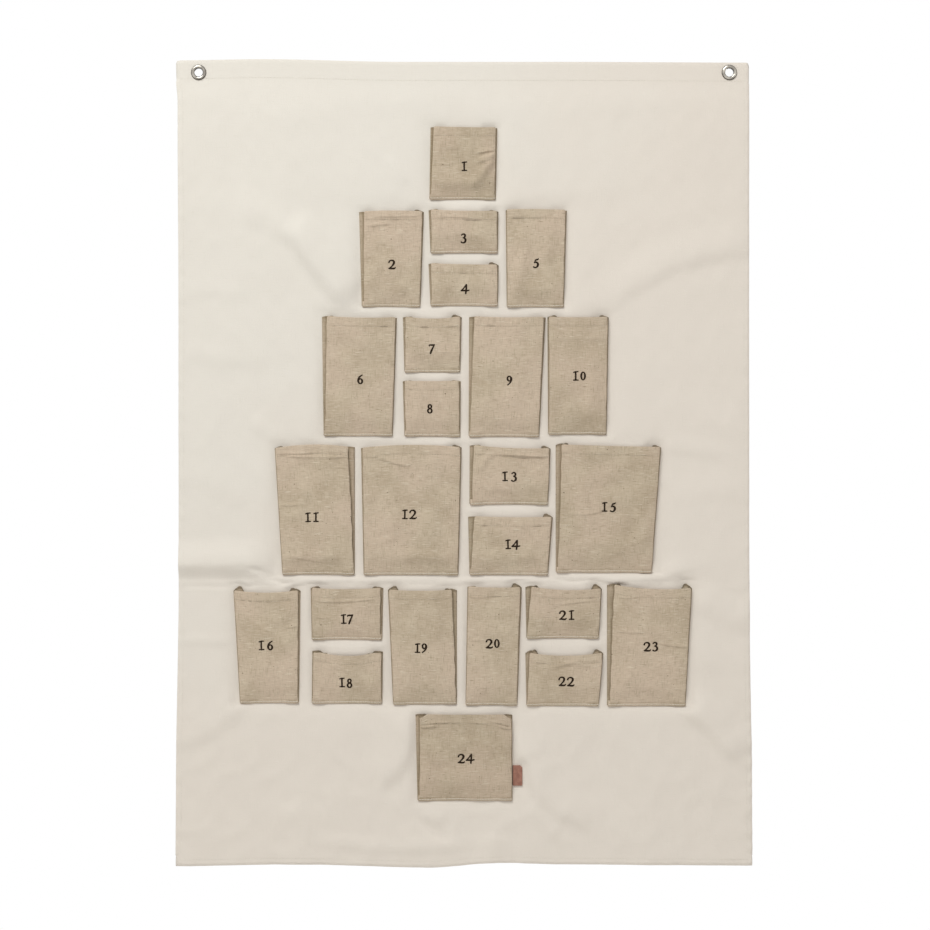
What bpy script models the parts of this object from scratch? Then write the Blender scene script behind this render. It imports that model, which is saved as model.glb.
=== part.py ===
"""Hanging advent calendar: a hemmed canvas banner on two eyelets, with twenty-four pleated pockets.

The wall is the plane y = 0 and the calendar faces -Y. The origin lies on the wall, midway between
the centres of the two eyelets. Every depth below is measured from the wall towards the viewer.
"""

import math

import bmesh
import bpy
from mathutils import Vector

# Banner, in metres
BANNER_WIDTH = 0.600
BANNER_HEIGHT = 0.837
CANVAS_THICKNESS = 0.0007
HEM_LAYERS = 3
TOP_HEM = 0.021
SIDE_HEM = 0.007
BOTTOM_HEM = 0.008
TURN_SLOPE = 0.0008
EDGE_DRAW_IN = 0.003
EDGE_WAVE = 0.0026
FOLD_HEIGHT = 0.002
FOLD_REACH = 0.030
MARGIN_COLUMNS = 2
ROW_STEPS = 2
GAP_STEPS = 2
FOOT_STEPS = 3

# Eyelets and their washers
EYELET_INSET_SIDE = 0.0236
EYELET_INSET_TOP = 0.0116
EYELET_BORE_RADIUS = 0.00425
EYELET_FLANGE_RADIUS = 0.0080
EYELET_DOME = 0.0016
EYELET_METAL = 0.0005
EYELET_CURL_RADIUS = 0.0006
EYELET_CURL_REACH = 0.0010
EYELET_CURL_STEPS = 2
WASHER_RADIUS = 0.0074
WASHER_THICKNESS = 0.0006
WASHER_BEVEL = 0.0002
RING_SEGMENTS = 20
DOME_STEPS = 6

# Pocket rows, top to bottom
FIRST_ROW_DROP = 0.0689
ROW_GAP = 0.0115
COLUMN_GAP = 0.0104
STACK_GAP = 0.0119
ROW_1_WIDTH, ROW_1_HEIGHT = 0.0692, 0.0752
ROW_2_WIDTH, ROW_2_HEIGHT = 0.2105, 0.1000
ROW_3_WIDTH, ROW_3_HEIGHT = 0.2946, 0.1241
ROW_4_WIDTH, ROW_4_HEIGHT = 0.3849, 0.1326
ROW_5_WIDTH, ROW_5_HEIGHT = 0.4640, 0.1215
ROW_6_WIDTH, ROW_6_HEIGHT = 0.0988, 0.0899

# Pocket cloth
LINEN_THICKNESS = 0.0006
CLEARANCE = 0.0003
PLEAT_DEPTH = 0.0146
MOUTH_HEM = 0.010
BOTTOM_SEAM = 0.008
BOTTOM_STACK = 0.0020
MOUTH_HOLLOW = 0.0050
SWELL_HEIGHT = 0.022
SWELL_STEPS = 4
FRONT_CELL = 0.044
CROWN = 0.0010
MOUTH_SAG = 0.0012
EAR_HEIGHT = 0.0016
SEW_MARGIN = 0.003
OPEN_REACH = 0.024

# Leather tag
TAG_WIDTH = 0.0099
TAG_HEIGHT = 0.0212
TAG_THICKNESS = 0.0014
TAG_CHAMFER = 0.0022
TAG_RISE = 0.0156
TAG_POCKET = 24
TAG_OPENS_DEGREES = 70

CUT_OVERRUN = 0.004
SHARP_DEGREES = 40

# Each row: its width, its height, the gap above it as a share of ROW_GAP, and how far its middle
# stands right of the banner's middle, as a share of COLUMN_GAP.
ROWS_WITH_shares = (
    (ROW_1_WIDTH, ROW_1_HEIGHT, 0.00, -0.14),
    (ROW_2_WIDTH, ROW_2_HEIGHT, 1.00, -0.12),
    (ROW_3_WIDTH, ROW_3_HEIGHT, 0.93, 0.11),
    (ROW_4_WIDTH, ROW_4_HEIGHT, 1.03, 0.31),
    (ROW_5_WIDTH, ROW_5_HEIGHT, 1.22, -0.13),
    (ROW_6_WIDTH, ROW_6_HEIGHT, 0.84, 0.10),
)

# Each row's columns, left to right: the pocket numbers from the top down, the column's share of the
# row's cloth, and the gap to the next column as a share of COLUMN_GAP.
COLUMN_shares = (
    (((1,), 1.000, 0.00),),
    (((2,), 0.320, 1.01), ((3, 4), 0.368, 0.88), ((5,), 0.312, 0.00)),
    (((6,), 0.272, 1.16), ((7, 8), 0.220, 0.83), ((9,), 0.278, 0.88), ((10,), 0.230, 0.00)),
    (((11,), 0.212, 0.88), ((12,), 0.277, 1.10), ((13, 14), 0.230, 0.76), ((15,), 0.281, 0.00)),
    (
        ((16,), 0.149, 1.28),
        ((17, 18), 0.178, 1.08),
        ((19,), 0.161, 0.86),
        ((20,), 0.131, 0.90),
        ((21, 22), 0.183, 0.81),
        ((23,), 0.198, 0.00),
    ),
    (((24,), 1.000, 0.00),),
)

# The gap inside a stacked pair, under its upper pocket, as a share of STACK_GAP.
STACK_GAP_shares = {3: 0.98, 7: 0.77, 13: 1.08, 17: 0.98, 21: 1.28}

# How far each front leans out over its own left and right seam at the mouth, as shares of
# PLEAT_DEPTH (below zero, the pleat shows beside it), then how far its bottom is sewn above the
# row's line and its mouth hangs below it, as shares of ROW_GAP.
FORM_shares = {
    1: (-0.09, 0.10, 0.00, 0.00),
    2: (0.19, 0.25, 0.00, 0.09),
    3: (0.13, 0.03, 0.00, 0.00),
    4: (0.14, 0.05, 0.08, 0.00),
    5: (0.07, 0.21, -0.03, -0.06),
    6: (0.12, 0.29, 0.03, 0.00),
    7: (0.11, 0.10, 0.00, 0.00),
    8: (0.12, 0.03, 0.00, 0.00),
    9: (-0.04, 0.45, -0.04, 0.00),
    10: (0.05, 0.15, 0.16, 0.00),
    11: (0.54, -0.42, 0.04, 0.00),
    12: (0.19, 0.23, 0.00, 0.00),
    13: (-0.02, 0.17, 0.06, -0.06),
    14: (0.09, 0.33, 0.00, -0.06),
    15: (-0.35, 0.66, 0.22, -0.15),
    16: (0.46, 0.11, 0.19, 0.19),
    17: (0.08, 0.07, 0.14, -0.05),
    18: (-0.04, 0.04, 0.15, -0.12),
    19: (0.37, -0.32, 0.07, 0.13),
    20: (-0.14, 0.31, 0.00, -0.14),
    21: (0.07, 0.21, 0.10, -0.06),
    22: (0.07, 0.31, -0.05, -0.10),
    23: (-0.36, 0.47, -0.07, -0.17),
    24: (0.15, -0.02, 0.00, 0.00),
}

# The banner's hanging folds: each ridge runs between two points, given as shares of the banner's
# width and height from its top left corner. Then its half width, as a share of FOLD_REACH, and its
# height, as a share of FOLD_HEIGHT. At each end it dies away over FOLD_END_share of its length.
FOLD_END_share = 0.25
FOLD_shares = (
    (-0.06, 0.633, 0.165, 0.642, 0.55, 0.90),
    (0.15, 0.640, 0.25, 0.650, 0.35, 0.35),
    (0.08, 0.190, 0.27, 0.325, 1.40, 0.40),
    (0.76, 0.300, 0.95, 0.245, 1.20, 0.45),
    (0.82, 0.640, 0.94, 0.629, 0.60, 0.45),
    (0.40, 0.800, 0.37, 0.920, 0.80, 0.50),
    (0.91, 0.800, 0.72, 0.885, 1.20, 0.50),
    (0.24, 0.940, 0.27, 1.040, 1.20, 0.55),
    (0.57, 0.935, 0.56, 1.040, 1.00, 0.60),
    (0.80, 0.950, 0.83, 1.040, 1.10, 0.35),
)

# How far the side edges draw in, down the banner's height, as shares of EDGE_DRAW_IN.
LEFT_DRAW_shares = (
    (0.0, 0.0),
    (0.025, 0.15),
    (0.05, 0.7),
    (0.30, 1.0),
    (0.65, 1.1),
    (0.9, 0.15),
    (1.0, 0.0),
)
RIGHT_DRAW_shares = ((0.0, 1.1), (0.35, 1.15), (0.60, 1.1), (0.70, 0.9), (0.9, 0.15), (1.0, 0.0))

# How far the top and bottom edges dip, across the banner's width, as shares of EDGE_WAVE.
TOP_DIP_shares = ((0.0, -0.3), (0.15, -0.8), (0.39, 0.3), (0.67, 0.3), (1.0, 0.6))
BOTTOM_DIP_shares = ((0.0, 0.3), (0.21, -0.35), (0.44, 0.9), (0.56, -1.0), (0.67, -0.35), (1.0, 0.1))

# Where the pocket front's grid lines run across it.
FRONT_ACROSS_shares = (0.0, 0.2, 0.5, 0.8, 1.0)

# Linear colour, roughness and metallic value
CANVAS_LOOK = ((0.72, 0.68, 0.60), 0.90, 0.0)
LINEN_LOOK = ((0.46, 0.38, 0.29), 0.92, 0.0)
NICKEL_LOOK = ((0.62, 0.60, 0.57), 0.25, 1.0)
LEATHER_LOOK = ((0.29, 0.15, 0.10), 0.60, 0.0)

FACE_DEPTH = HEM_LAYERS * CANVAS_THICKNESS
TOP_EDGE = EYELET_INSET_TOP
BOTTOM_EDGE = TOP_EDGE - BANNER_HEIGHT
LEFT_EDGE = -BANNER_WIDTH / 2
RIGHT_EDGE = BANNER_WIDTH / 2
EYELET_X = RIGHT_EDGE - EYELET_INSET_SIDE


def clear_scene():
    for old in list(bpy.data.objects):
        bpy.data.objects.remove(old)


def make_material(name, look):
    colour, roughness, metallic = look
    material = bpy.data.materials.new(name)
    material.use_nodes = True
    shader = material.node_tree.nodes["Principled BSDF"]
    shader.inputs["Base Color"].default_value = (*colour, 1)
    shader.inputs["Roughness"].default_value = roughness
    shader.inputs["Metallic"].default_value = metallic
    return material


def ease(share):
    """A smooth climb from 0 to 1."""
    share = min(max(share, 0), 1)
    return share * share * (3 - 2 * share)


def arch(share):
    """1 at the middle, falling to 0 at each end."""
    return 4 * share * (1 - share)


def along(table, share):
    """The value of a table of (place, value) pairs at a place, eased between its points."""
    for (low, first), (high, second) in zip(table, table[1:]):
        if share <= high:
            return first + (second - first) * ease((share - low) / (high - low))
    return table[-1][1]


def pocket_name(number, piece):
    return f"pocket_{number:02d}_{piece}"


def finish_object(name, bm, material, origin):
    """Turns a mesh in world places into one smooth object whose origin is where it is told."""
    for vert in bm.verts:
        vert.co -= origin
    bmesh.ops.recalc_face_normals(bm, faces=bm.faces)
    mesh = bpy.data.meshes.new(name)
    bm.to_mesh(mesh)
    bm.free()
    mesh.materials.append(material)
    mesh.shade_smooth()
    mesh.set_sharp_from_angle(angle=math.radians(SHARP_DEGREES))
    obj = bpy.data.objects.new(name, mesh)
    obj.location = origin
    bpy.context.scene.collection.objects.link(obj)
    return obj


def add_sheet(bm, front, back):
    """A closed sheet between two grids of points, each a list of rows of the same length."""
    front_verts = [[bm.verts.new(point) for point in row] for row in front]
    back_verts = [[bm.verts.new(point) for point in row] for row in back]
    rows, columns = len(front), len(front[0])
    for row in range(rows - 1):
        for column in range(columns - 1):
            for grid in (front_verts, back_verts):
                corners = (grid[row][column], grid[row][column + 1])
                bm.faces.new((*corners, grid[row + 1][column + 1], grid[row + 1][column]))
    rim = [(0, column) for column in range(columns)]
    rim += [(row, columns - 1) for row in range(1, rows)]
    rim += [(rows - 1, column) for column in range(columns - 2, -1, -1)]
    rim += [(row, 0) for row in range(rows - 2, 0, -1)]
    for here, there in zip(rim, rim[1:] + rim[:1]):
        near = (front_verts[here[0]][here[1]], front_verts[there[0]][there[1]])
        far = (back_verts[there[0]][there[1]], back_verts[here[0]][here[1]])
        bm.faces.new((*near, *far))


def add_loft(bm, sections):
    """A closed body through polygons that all have the same number of points."""
    rings = [[bm.verts.new(point) for point in section] for section in sections]
    for lower, upper in zip(rings, rings[1:]):
        for index in range(len(lower)):
            after = (index + 1) % len(lower)
            bm.faces.new((lower[index], lower[after], upper[after], upper[index]))
    bm.faces.new(rings[0])
    bm.faces.new(rings[-1])


class Pocket:
    """Where one pocket is sewn, and the shape of its front."""

    def __init__(self, number, left, right, bottom, mouth):
        self.number = number
        self.left_lean = FORM_shares[number][0] * PLEAT_DEPTH
        self.right_lean = FORM_shares[number][1] * PLEAT_DEPTH
        self.left = left
        self.right = right
        self.bottom = bottom + FORM_shares[number][2] * ROW_GAP
        self.mouth = mouth - FORM_shares[number][3] * ROW_GAP
        self.height = self.mouth - self.bottom

    def front_left(self, rise):
        return self.left - self.left_lean * rise / self.height

    def front_right(self, rise):
        return self.right + self.right_lean * rise / self.height

    def crease_left(self, rise):
        return (self.left + self.front_left(rise)) / 2 + PLEAT_DEPTH

    def crease_right(self, rise):
        return (self.right + self.front_right(rise)) / 2 - PLEAT_DEPTH

    def sag(self, across, rise):
        """How far the cloth hangs below its level place, most at the middle of the mouth."""
        return MOUTH_SAG * arch(across) * rise / self.height

    def inner_depth(self, rise):
        """The depth of the front's inner face below its mouth hem, without its crown."""
        hollow = MOUTH_HOLLOW + LINEN_THICKNESS
        return FACE_DEPTH + BOTTOM_STACK + (hollow - BOTTOM_STACK) * ease(rise / SWELL_HEIGHT)

    def pleat_depth(self, rise):
        """The depth of the pleat's face behind the front."""
        seam = BOTTOM_STACK - CLEARANCE
        hollow = MOUTH_HOLLOW - CLEARANCE
        return FACE_DEPTH + seam + (hollow - seam) * ease(rise / SWELL_HEIGHT)

    def crown(self, across, rise):
        return CROWN * arch(across) * ease(rise / SWELL_HEIGHT)

    def hinge(self):
        """The line that the front turns about, at the inner edge of its bottom seam."""
        return Vector(((self.left + self.right) / 2, -self.inner_depth(0), self.bottom))

    def swell_rises(self):
        return [SWELL_HEIGHT * step / SWELL_STEPS for step in range(SWELL_STEPS + 1)]

    def opens_degrees(self):
        """The turn that takes the mouth to where its side pleats are nearly unfolded."""
        rest = self.inner_depth(self.height) - FACE_DEPTH
        return math.degrees(math.asin((OPEN_REACH - rest) / self.height))


def lay_out_pockets():
    """All pockets, from the rows' named sizes."""
    pockets = {}
    top = TOP_EDGE - FIRST_ROW_DROP
    for (width, height, gap_share, shift_share), columns in zip(ROWS_WITH_shares, COLUMN_shares):
        top -= gap_share * ROW_GAP
        bottom = top - height
        left = shift_share * COLUMN_GAP - width / 2
        cloth = width - sum(column[2] for column in columns) * COLUMN_GAP
        whole_share = sum(column[1] for column in columns)
        for numbers, width_share, column_gap_share in columns:
            right = left + cloth * width_share / whole_share
            if len(numbers) == 1:
                pockets[numbers[0]] = Pocket(numbers[0], left, right, bottom, top)
            else:
                upper, lower = numbers
                gap = STACK_GAP_shares[upper] * STACK_GAP
                middle = (top + bottom) / 2
                pockets[upper] = Pocket(upper, left, right, middle + gap / 2, top)
                pockets[lower] = Pocket(lower, left, right, bottom, middle - gap / 2)
            left = right + column_gap_share * COLUMN_GAP
        top = bottom
    return pockets


def fold_height(x, z):
    """How far the banner's folds stand out at a place, without regard to the pockets."""
    total = 0
    for start_x, start_z, end_x, end_z, reach_share, height_share in FOLD_shares:
        start = Vector((LEFT_EDGE + start_x * BANNER_WIDTH, TOP_EDGE - start_z * BANNER_HEIGHT))
        end = Vector((LEFT_EDGE + end_x * BANNER_WIDTH, TOP_EDGE - end_z * BANNER_HEIGHT))
        run = end - start
        place = min(max((Vector((x, z)) - start).dot(run) / run.length_squared, 0), 1)
        away = (Vector((x, z)) - start - place * run).length
        fade = ease(place / FOLD_END_share) * ease((1 - place) / FOLD_END_share)
        height = height_share * FOLD_HEIGHT * fade
        total += height * ease(1 - away / (reach_share * FOLD_REACH))
    return total


def split_spans(lines, steps_of):
    """The same lines with each span cut into equal steps."""
    out = [lines[0]]
    for index, (low, high) in enumerate(zip(lines, lines[1:])):
        steps = steps_of(index)
        out += [low + (high - low) * step / steps for step in range(1, steps + 1)]
    return out


def banner_columns(pockets):
    """The banner's grid lines from left to right: its hems, and the outer limits of each row."""
    lefts, rights = set(), set()
    for columns in COLUMN_shares[:-1]:
        first, last = pockets[columns[0][0][0]], pockets[columns[-1][0][0]]
        lefts.add(min(first.left, first.front_left(first.height)) - SEW_MARGIN)
        rights.add(max(last.right, last.front_right(last.height)) + SEW_MARGIN)
    inner = SIDE_HEM + TURN_SLOPE
    lines = [LEFT_EDGE, LEFT_EDGE + SIDE_HEM, LEFT_EDGE + inner, *sorted(lefts)]
    lines += [*sorted(rights), RIGHT_EDGE - inner, RIGHT_EDGE - SIDE_HEM, RIGHT_EDGE]
    margins = (2, len(lines) - 4)
    return split_spans(lines, lambda index: MARGIN_COLUMNS if index in margins else 1)


def banner_rows(pockets):
    """The banner's grid lines from the bottom up: its hems, and each row's limits and gaps."""
    lines = [BOTTOM_EDGE, BOTTOM_EDGE + BOTTOM_HEM, BOTTOM_EDGE + BOTTOM_HEM + TURN_SLOPE]
    steps = [1, 1]
    for columns in reversed(COLUMN_shares):
        numbers = [number for column in columns for number in column[0]]
        low = min(pockets[number].bottom for number in numbers) - SEW_MARGIN
        high = max(pockets[number].mouth for number in numbers) + SEW_MARGIN
        steps.append(FOOT_STEPS if len(lines) == 3 else GAP_STEPS)
        steps.append(ROW_STEPS)
        lines += [low, high]
    lines += [TOP_EDGE - TOP_HEM - TURN_SLOPE, TOP_EDGE - TOP_HEM, TOP_EDGE]
    steps += [1, 1, 1]
    return split_spans(lines, lambda index: steps[index])


def is_sewn(pockets, low_x, high_x, low_z, high_z):
    """Whether a pocket covers any of this stretch of the banner."""
    for pocket in pockets.values():
        left = min(pocket.left, pocket.front_left(pocket.height))
        right = max(pocket.right, pocket.front_right(pocket.height))
        beside = high_x <= left or low_x >= right
        if not (beside or high_z <= pocket.bottom or low_z >= pocket.mouth + EAR_HEIGHT):
            return True
    return False


def banner_point(x, z, inner_x, depth):
    """A place on the banner, its edges drawn in beyond inner_x and dipped as the cloth hangs."""
    across = (x - LEFT_EDGE) / BANNER_WIDTH
    down = (TOP_EDGE - z) / BANNER_HEIGHT
    table, side = (LEFT_DRAW_shares, 1) if x < 0 else (RIGHT_DRAW_shares, -1)
    reach = max((abs(x) - inner_x) / (RIGHT_EDGE - inner_x), 0)
    drawn = x + side * along(table, down) * EDGE_DRAW_IN * reach
    top_reach = ease(1 - (TOP_EDGE - z - TOP_HEM) / TOP_HEM)
    bottom_reach = ease(1 - (z - BOTTOM_EDGE) / (BOTTOM_HEM + FOLD_REACH))
    dip = along(TOP_DIP_shares, across) * top_reach + along(BOTTOM_DIP_shares, across) * bottom_reach
    return Vector((drawn, -depth, z - dip * EDGE_WAVE))


def make_banner(pockets, material):
    columns, rows = banner_columns(pockets), banner_rows(pockets)
    inner_x = abs(columns[2 + MARGIN_COLUMNS])
    flat = set()
    for row in range(len(rows) - 1):
        for column in range(len(columns) - 1):
            if is_sewn(pockets, columns[column], columns[column + 1], rows[row], rows[row + 1]):
                flat |= {(row + up, column + over) for up in (0, 1) for over in (0, 1)}
    front, back = [], []
    for row, z in enumerate(rows):
        front.append([])
        back.append([])
        for column, x in enumerate(columns):
            out = 0
            if (row, column) not in flat and z < TOP_EDGE - TOP_HEM - TURN_SLOPE:
                out = fold_height(x, z)
            in_hem = row < 2 or row >= len(rows) - 2 or column < 2 or column >= len(columns) - 2
            behind = 0 if in_hem else FACE_DEPTH - CANVAS_THICKNESS
            front[-1].append(banner_point(x, z, inner_x, FACE_DEPTH + out))
            back[-1].append(banner_point(x, z, inner_x, behind + out))
    bm = bmesh.new()
    add_sheet(bm, front, back)
    banner = finish_object("backing_panel", bm, material, Vector())
    for side in (-1, 1):
        cut_eyelet_hole(banner, side * EYELET_X)
    return banner


def cut_eyelet_hole(banner, x):
    bm = bmesh.new()
    radius = EYELET_BORE_RADIUS + EYELET_METAL + CLEARANCE
    depth = FACE_DEPTH + 2 * CUT_OVERRUN
    bmesh.ops.create_cone(
        bm, cap_ends=True, segments=RING_SEGMENTS, radius1=radius, radius2=radius, depth=depth
    )
    mesh = bpy.data.meshes.new("eyelet_hole_cutter")
    bm.to_mesh(mesh)
    bm.free()
    cutter = bpy.data.objects.new("eyelet_hole_cutter", mesh)
    cutter.location = (x, -FACE_DEPTH / 2, 0)
    cutter.rotation_euler = (math.pi / 2, 0, 0)
    cutter.hide_render = True
    cutter.display_type = "WIRE"
    bpy.context.scene.collection.objects.link(cutter)
    cut = banner.modifiers.new("eyelet hole", "BOOLEAN")
    cut.operation = "DIFFERENCE"
    cut.object = cutter


def front_rises(pocket):
    """The heights of the front's grid lines above its bottom edge."""
    hem = pocket.height - MOUTH_HEM
    straight = hem - TURN_SLOPE - SWELL_HEIGHT
    steps = max(1, round(straight / FRONT_CELL))
    rises = pocket.swell_rises()
    rises += [SWELL_HEIGHT + straight * step / steps for step in range(1, steps + 1)]
    return rises + [hem, pocket.height]


def make_front(pocket, material):
    rises = front_rises(pocket)
    outer, inner = [], []
    for index, rise in enumerate(rises):
        outer.append([])
        inner.append([])
        left, right = pocket.front_left(rise), pocket.front_right(rise)
        turned = LINEN_THICKNESS if index >= len(rises) - 2 else 0
        for across in FRONT_ACROSS_shares:
            x = left + (right - left) * across
            z = pocket.bottom + rise - pocket.sag(across, rise)
            depth = pocket.inner_depth(rise) + pocket.crown(across, rise)
            outer[-1].append(Vector((x, -depth - LINEN_THICKNESS, z)))
            inner[-1].append(Vector((x, turned - depth, z)))
    bm = bmesh.new()
    add_sheet(bm, outer, inner)
    return finish_object(pocket_name(pocket.number, "front"), bm, material, pocket.hinge())


def pleat_section(pocket, rise, height, seam, edge, crease):
    """One pleat cut across: from the seam in to the crease and out to the front's edge."""
    back = FACE_DEPTH + CLEARANCE
    face = pocket.pleat_depth(rise)
    middle = (back + face) / 2
    notch = (middle - back - LINEN_THICKNESS) / (middle - back)
    inner = (seam + edge) / 2 + (crease - (seam + edge) / 2) * notch
    z = pocket.bottom + height
    outline = (
        (seam, back),
        (crease, middle),
        (edge, face),
        (edge, face - LINEN_THICKNESS),
        (inner, middle),
        (seam, back + LINEN_THICKNESS),
    )
    return [Vector((x, -depth, z)) for x, depth in outline]


def join_bodies(name, bodies, material, origin):
    """One solid from several that overlap."""
    helpers = [finish_object(f"{name}_body", body, material, Vector()) for body in bodies]
    first = helpers[0]
    for helper in helpers[1:]:
        union = first.modifiers.new("union", "BOOLEAN")
        union.operation = "UNION"
        union.object = helper
    bpy.context.view_layer.update()
    graph = bpy.context.evaluated_depsgraph_get()
    bm = bmesh.new()
    bm.from_mesh(first.evaluated_get(graph).to_mesh())
    for helper in helpers:
        bpy.data.objects.remove(helper)
    return finish_object(name, bm, material, origin)


def make_pleats(pocket, material):
    """Both side pleats and the turned seam under the front's bottom edge, which joins them."""
    rises = pocket.swell_rises()[1:] + [pocket.height]
    sides = (
        (pocket.left, pocket.front_left, pocket.crease_left),
        (pocket.right, pocket.front_right, pocket.crease_right),
    )
    pleats = []
    for seam_x, edge_at, crease_at in sides:
        sections = []
        for rise in rises:
            height = rise + (EAR_HEIGHT if rise == pocket.height else 0)
            lines = (seam_x, edge_at(rise), crease_at(rise))
            sections.append(pleat_section(pocket, rise, height, *lines))
        pleats.append(sections)
    seam = []
    for height in (0, BOTTOM_SEAM):
        depths = (FACE_DEPTH + CLEARANCE, pocket.pleat_depth(0))
        corners = ((pocket.left, depths[0]), (pocket.right, depths[0]))
        corners += ((pocket.right, depths[1]), (pocket.left, depths[1]))
        seam.append([Vector((x, -depth, pocket.bottom + height)) for x, depth in corners])
    bodies = []
    for sections in (seam, *pleats):
        bodies.append(bmesh.new())
        add_loft(bodies[-1], sections)
    return join_bodies(pocket_name(pocket.number, "pleats"), bodies, material, pocket.hinge())


def make_ring(name, profile, x, material):
    """Turns a closed outline of (radius, depth) points about an eyelet's centre line."""
    bm = bmesh.new()
    verts = [bm.verts.new((radius, -depth, 0)) for radius, depth in profile]
    edges = [bm.edges.new(pair) for pair in zip(verts, verts[1:] + verts[:1])]
    bmesh.ops.spin(
        bm,
        geom=verts + edges,
        cent=(0, 0, 0),
        axis=(0, 1, 0),
        angle=math.tau,
        steps=RING_SEGMENTS,
        use_merge=True,
    )
    bmesh.ops.translate(bm, verts=bm.verts, vec=(x, 0, 0))
    return finish_object(name, bm, material, Vector((x, 0, 0)))


def eyelet_profile():
    """The pressed sheet of an eyelet: a domed flange, its barrel, and the curl over the washer."""
    half = EYELET_METAL / 2
    barrel = EYELET_BORE_RADIUS + half
    rim = EYELET_FLANGE_RADIUS - half
    under = FACE_DEPTH + CLEARANCE
    centre = []
    for step in range(DOME_STEPS + 1):
        angle = math.pi * step / DOME_STEPS
        radius = (rim + barrel) / 2 + (rim - barrel) / 2 * math.cos(angle)
        centre.append((radius, under + (EYELET_DOME - half) * math.sin(angle)))
    curl_depth = -(2 * CLEARANCE + WASHER_THICKNESS + half)
    curl = EYELET_CURL_RADIUS + half
    centre.append((barrel, curl_depth + curl))
    for step in range(1, EYELET_CURL_STEPS + 1):
        angle = math.pi / 2 * step / EYELET_CURL_STEPS
        out = curl * (1 - math.cos(angle))
        centre.append((barrel + out, curl_depth + curl * (1 - math.sin(angle))))
    centre.append((barrel + curl + EYELET_CURL_REACH, curl_depth))
    return thickened(centre, half)


def thickened(centre, half):
    """The closed outline of a sheet of even thickness along a line of (radius, depth) points."""
    one_side, other_side = [], []
    for index, point in enumerate(centre):
        before = Vector(centre[max(index - 1, 0)])
        after = Vector(centre[min(index + 1, len(centre) - 1)])
        run = (after - before).normalized()
        across = Vector((run.y, -run.x)) * half
        one_side.append(tuple(Vector(point) + across))
        other_side.append(tuple(Vector(point) - across))
    return one_side + other_side[::-1]


def washer_profile():
    hole = EYELET_BORE_RADIUS + EYELET_METAL + CLEARANCE
    near = -CLEARANCE
    far = near - WASHER_THICKNESS
    return (
        (hole, near),
        (WASHER_RADIUS - WASHER_BEVEL, near),
        (WASHER_RADIUS, near - WASHER_BEVEL),
        (WASHER_RADIUS, far),
        (hole, far),
    )


def make_eyelets(material):
    for side, word in ((-1, "left"), (1, "right")):
        make_ring(f"{word}_eyelet", eyelet_profile(), side * EYELET_X, material)
        make_ring(f"{word}_eyelet_washer", washer_profile(), side * EYELET_X, material)


def tag_hinge(pocket):
    """The line that the tag bends about, at the front of its sewn edge."""
    depth = FACE_DEPTH + CLEARANCE + TAG_THICKNESS
    return Vector((pocket.right + CLEARANCE, -depth, pocket.bottom + TAG_RISE + TAG_HEIGHT / 2))


def make_tag(pocket, material):
    hinge = tag_hinge(pocket)
    root, tip = hinge.x, hinge.x + TAG_WIDTH
    low, high = hinge.z - TAG_HEIGHT / 2, hinge.z + TAG_HEIGHT / 2
    outline = [(root, low), (tip, low), (tip, high - TAG_CHAMFER)]
    outline += [(tip - TAG_CHAMFER, high), (root, high)]
    depths = (FACE_DEPTH + CLEARANCE, -hinge.y)
    bm = bmesh.new()
    add_loft(bm, [[Vector((x, -depth, z)) for x, z in outline] for depth in depths])
    return finish_object("leather_tag", bm, material, hinge)


def main():
    clear_scene()
    canvas = make_material("canvas", CANVAS_LOOK)
    linen = make_material("linen", LINEN_LOOK)
    nickel = make_material("nickel", NICKEL_LOOK)
    leather = make_material("leather", LEATHER_LOOK)
    pockets = lay_out_pockets()
    make_banner(pockets, canvas)
    make_eyelets(nickel)
    for pocket in pockets.values():
        make_pleats(pocket, linen)
        make_front(pocket, linen)
    make_tag(pockets[TAG_POCKET], leather)


main()
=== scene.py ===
"""The looks of a hanging advent calendar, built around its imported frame.

Metres throughout, except where a name ends in _mm. The wall is the plane y = 0, the calendar faces
-Y, and a depth is a distance in front of the wall. Places on the calendar's face are given in pixels
of the photograph's 930 by 930 frame, and place() turns them into metres. A side is -1 for the left
and 1 for the right.
"""

import math
import random

import bmesh
import bpy
import numpy as np
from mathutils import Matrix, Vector


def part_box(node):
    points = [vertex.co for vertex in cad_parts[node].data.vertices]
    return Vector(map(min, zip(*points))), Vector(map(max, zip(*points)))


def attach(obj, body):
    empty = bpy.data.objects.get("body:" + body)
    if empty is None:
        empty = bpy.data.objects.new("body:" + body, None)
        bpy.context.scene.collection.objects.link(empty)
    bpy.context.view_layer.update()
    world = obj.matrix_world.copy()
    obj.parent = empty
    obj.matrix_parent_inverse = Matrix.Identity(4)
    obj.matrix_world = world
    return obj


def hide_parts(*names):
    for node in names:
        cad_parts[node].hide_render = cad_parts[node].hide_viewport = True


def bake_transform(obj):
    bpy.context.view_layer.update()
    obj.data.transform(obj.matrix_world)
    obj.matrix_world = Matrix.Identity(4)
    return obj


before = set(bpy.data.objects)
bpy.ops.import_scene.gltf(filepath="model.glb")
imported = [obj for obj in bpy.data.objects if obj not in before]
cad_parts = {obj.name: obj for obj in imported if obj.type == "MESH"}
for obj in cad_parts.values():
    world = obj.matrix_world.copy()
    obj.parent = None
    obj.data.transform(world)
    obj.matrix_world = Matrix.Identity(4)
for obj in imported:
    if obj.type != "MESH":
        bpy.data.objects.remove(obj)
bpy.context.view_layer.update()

MM = 0.001
PIXEL = 0.0010417
PIXEL_X0, PIXEL_Y0 = 464.0, 72.5
FRAME_WIDTH = 930 * PIXEL
CAMERA_DISTANCE = 2.69
SIDES = (-1, 1)

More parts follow.
